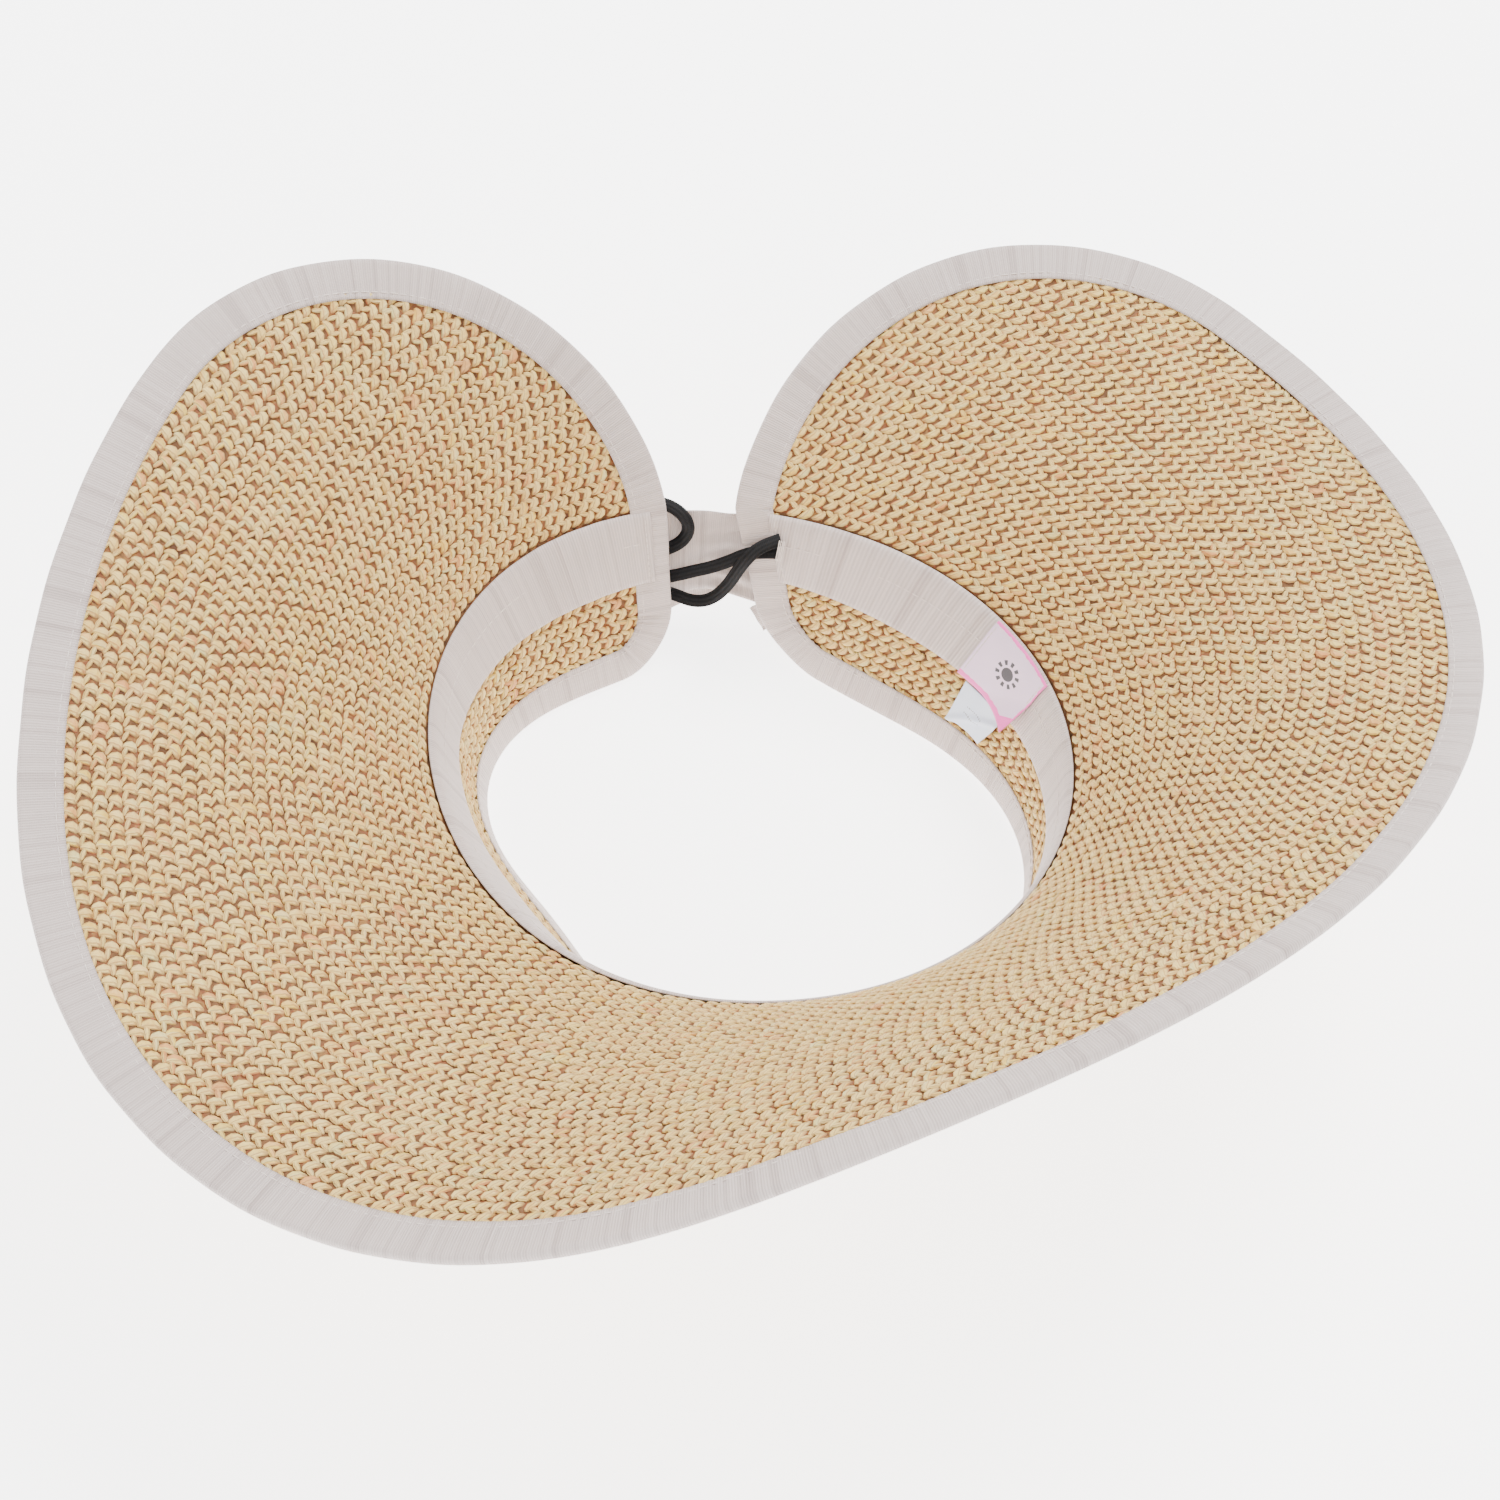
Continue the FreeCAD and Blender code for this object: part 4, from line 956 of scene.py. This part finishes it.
def tail_lay(start, end, width, phase):
    """One tail from beside or below the knot to its notched end: (along the ring, up)."""
    run = (end[0] - start[0], end[1] - start[1])
    length = math.hypot(*run)

    def lay(s, t):
        out = s * (1 - 0.10 * (1 - abs(2 * t - 1)))
        beside = (t - 0.5) * (TAIL_FOOT + (width - TAIL_FOOT) * out) / length
        along = start[0] + run[0] * out - run[1] * beside
        height = BOW_HEIGHT + start[1] + run[1] * out + run[0] * beside
        gather = 0.4 * np.sin(2 * np.pi * t * 2.5) * (1 - out) ** 1.5
        wave = 0.3 * np.sin(3.4 * out * np.pi + phase) * out
        angle = BOW_ANGLE + turn_of(along, BOW_HEIGHT)
        uvs = np.stack([out * length / 1000, t * width / 1000], -1)
        return straw(angle, height, -(FLAP + TAIL_SEAT + gather + wave)), uvs
    return lay


for name, start, end, width, phase in (
        ("bow_tail_left", (7.1, -4.0), (45.1, -10.0), 22, 1.2),
        ("bow_tail_right", (-2.5, -14.6), (-9.5, -21.5), 15, -1.2)):
    tail = grid_piece(name + "_ribbon", 40, 20, tail_lay(start, end, width, phase), grosgrain,
                      RIBBON_WALL)
    belongs(tail, name)

# ---- Labels ------------------------------------------------------------------------------
# A pink-white satin label with woven pink edges is sewn to the sweatband at the right, with one
# corner lifting. A plain white care label hangs from under it and can be turned up.
BRAND_ANGLE, CARE_ANGLE = math.radians(105.3), math.radians(105.0)
BRAND, CARE = (28.0, 25.0), (20.0, 17.0)
LABEL_SEAT, CARE_TOP, CARE_TAPER = 3.13, -25.6, 0.25

satin = Paint("label_satin_weave", Roughness=0.42, Sheen_Weight=0.3, Sheen_Roughness=0.3)
label_place, label_u, label_v = satin.uv()
wander = satin.noise(satin.room(), 500.0) * 0.05
low_edge = (label_v + wander) < 0.10
high_edge = (label_v + wander) > 0.985
curled = (label_u + wander < 0.045) + (label_u + label_v < 0.26)
ground = satin.mix(satin.noise(label_place, 3.0), linear(0.88, 0.77, 0.87),
                   linear(0.92, 0.82, 0.91))
across_sun, up_sun = (label_u - 0.47) * 1.12, label_v - 0.56
distance = ((across_sun * across_sun) + (up_sun * up_sun)) ** 0.5
spokes = (up_sun.joined("ARCTAN2", up_sun, across_sun) * 10).sine() > 0.1
sun = (distance < 0.10) + (distance > 0.135) * (distance < 0.205) * spokes
woven = satin.mix(sun, ground, linear(0.18, 0.15, 0.18))
satin.put("Base Color", satin.mix((low_edge + high_edge + curled) > 0.5, woven,
                                  linear(0.99, 0.38, 0.74)))
satin.bump((label_v * 420).sine() + satin.noise(label_place, 60.0), 0.25, 0.0001)

plain_satin = Paint("care_label_satin", Roughness=0.4, Sheen_Weight=0.25)
care_place, care_u, care_v = plain_satin.uv()
lines = (care_v * 38).sine() > 0.86
words = (care_u * 130 + plain_satin.noise(care_place, 9.0) * 9).sine() > -0.2
printed = lines * words * (care_u > 0.30) * (care_u < 0.72) * (care_v < 0.60) * (care_v > 0.22)
paper = plain_satin.mix(plain_satin.noise(care_place, 4.0), linear(0.80, 0.84, 0.92),
                        linear(0.87, 0.90, 0.96))
plain_satin.put("Base Color", plain_satin.mix(printed * 0.8, paper, linear(0.42, 0.42, 0.46)))
plain_satin.bump((care_v * 300).sine() + plain_satin.noise(care_place, 40.0), 0.2, 0.0001)


def label_lay(centre, top, size, taper, lift):
    """A label hung from its top edge, narrower by its taper at the foot."""
    def lay(s, t):
        along = (s - 0.5) * size[0] * (1 - taper * (1 - t))
        angle = centre + along / waves("ring", centre)
        height = top - size[1] * (1 - t)
        return straw(angle, height, LABEL_SEAT + lift(s, t)), np.stack([s, t], -1)
    return lay


def brand_lift(s, t):
    """The corner away from the closure curls up off the band."""
    corner = np.clip(1 - (s + t) / 0.62, 0, 1)
    return 5.0 * corner ** 1.5 + 0.25 * np.sin(np.pi * s) * np.sin(np.pi * t)


def care_lift(s, t):
    """A soft crease from the lifted corner, and the free end a little off the straw."""
    crease = np.exp(-((s * 0.8 + t - 0.75) / 0.10) ** 2)
    return 1.1 * crease - 0.8 * (1 - t) ** 1.5 * np.sin(np.pi * s)


brand = grid_piece("brand_label_satin", 44, 40,
                   label_lay(BRAND_ANGLE, 0, BRAND, 0.0, brand_lift), satin, LABEL_WALL)
belongs(brand, "brand_label")
care = grid_piece("care_label_satin", 36, 32,
                  label_lay(CARE_ANGLE, CARE_TOP, CARE, CARE_TAPER, care_lift), plain_satin,
                  LABEL_WALL)
belongs(care, "care_label", "care_label_flap")
label_half = (BRAND[0] / 2 - 1.2) / waves("ring", BRAND_ANGLE)
label_levels = np.linspace(-22, -2, 24)
sewn("label_stitches", [(BRAND_ANGLE + turn + 0 * label_levels, label_levels, ON_LABEL)
                        for turn in (-label_half, label_half)], 2.2, 1.7, "label_threads", 0.3)

# ---- Elastic tack ------------------------------------------------------------------------
# A bar of close stitches holds both strands of the right elastic under the sweatband's end.
TACK = 160.8
tack_levels = np.linspace(-14, -6, 12)
sewn("elastic_tack_stitches", [(math.radians(TACK + turn) + 0 * tack_levels, tack_levels,
                                ON_ELASTIC) for turn in (-0.6, -0.2, 0.2, 0.6)],
     0.9, 1.2, "elastic_tack_right", 0.45)
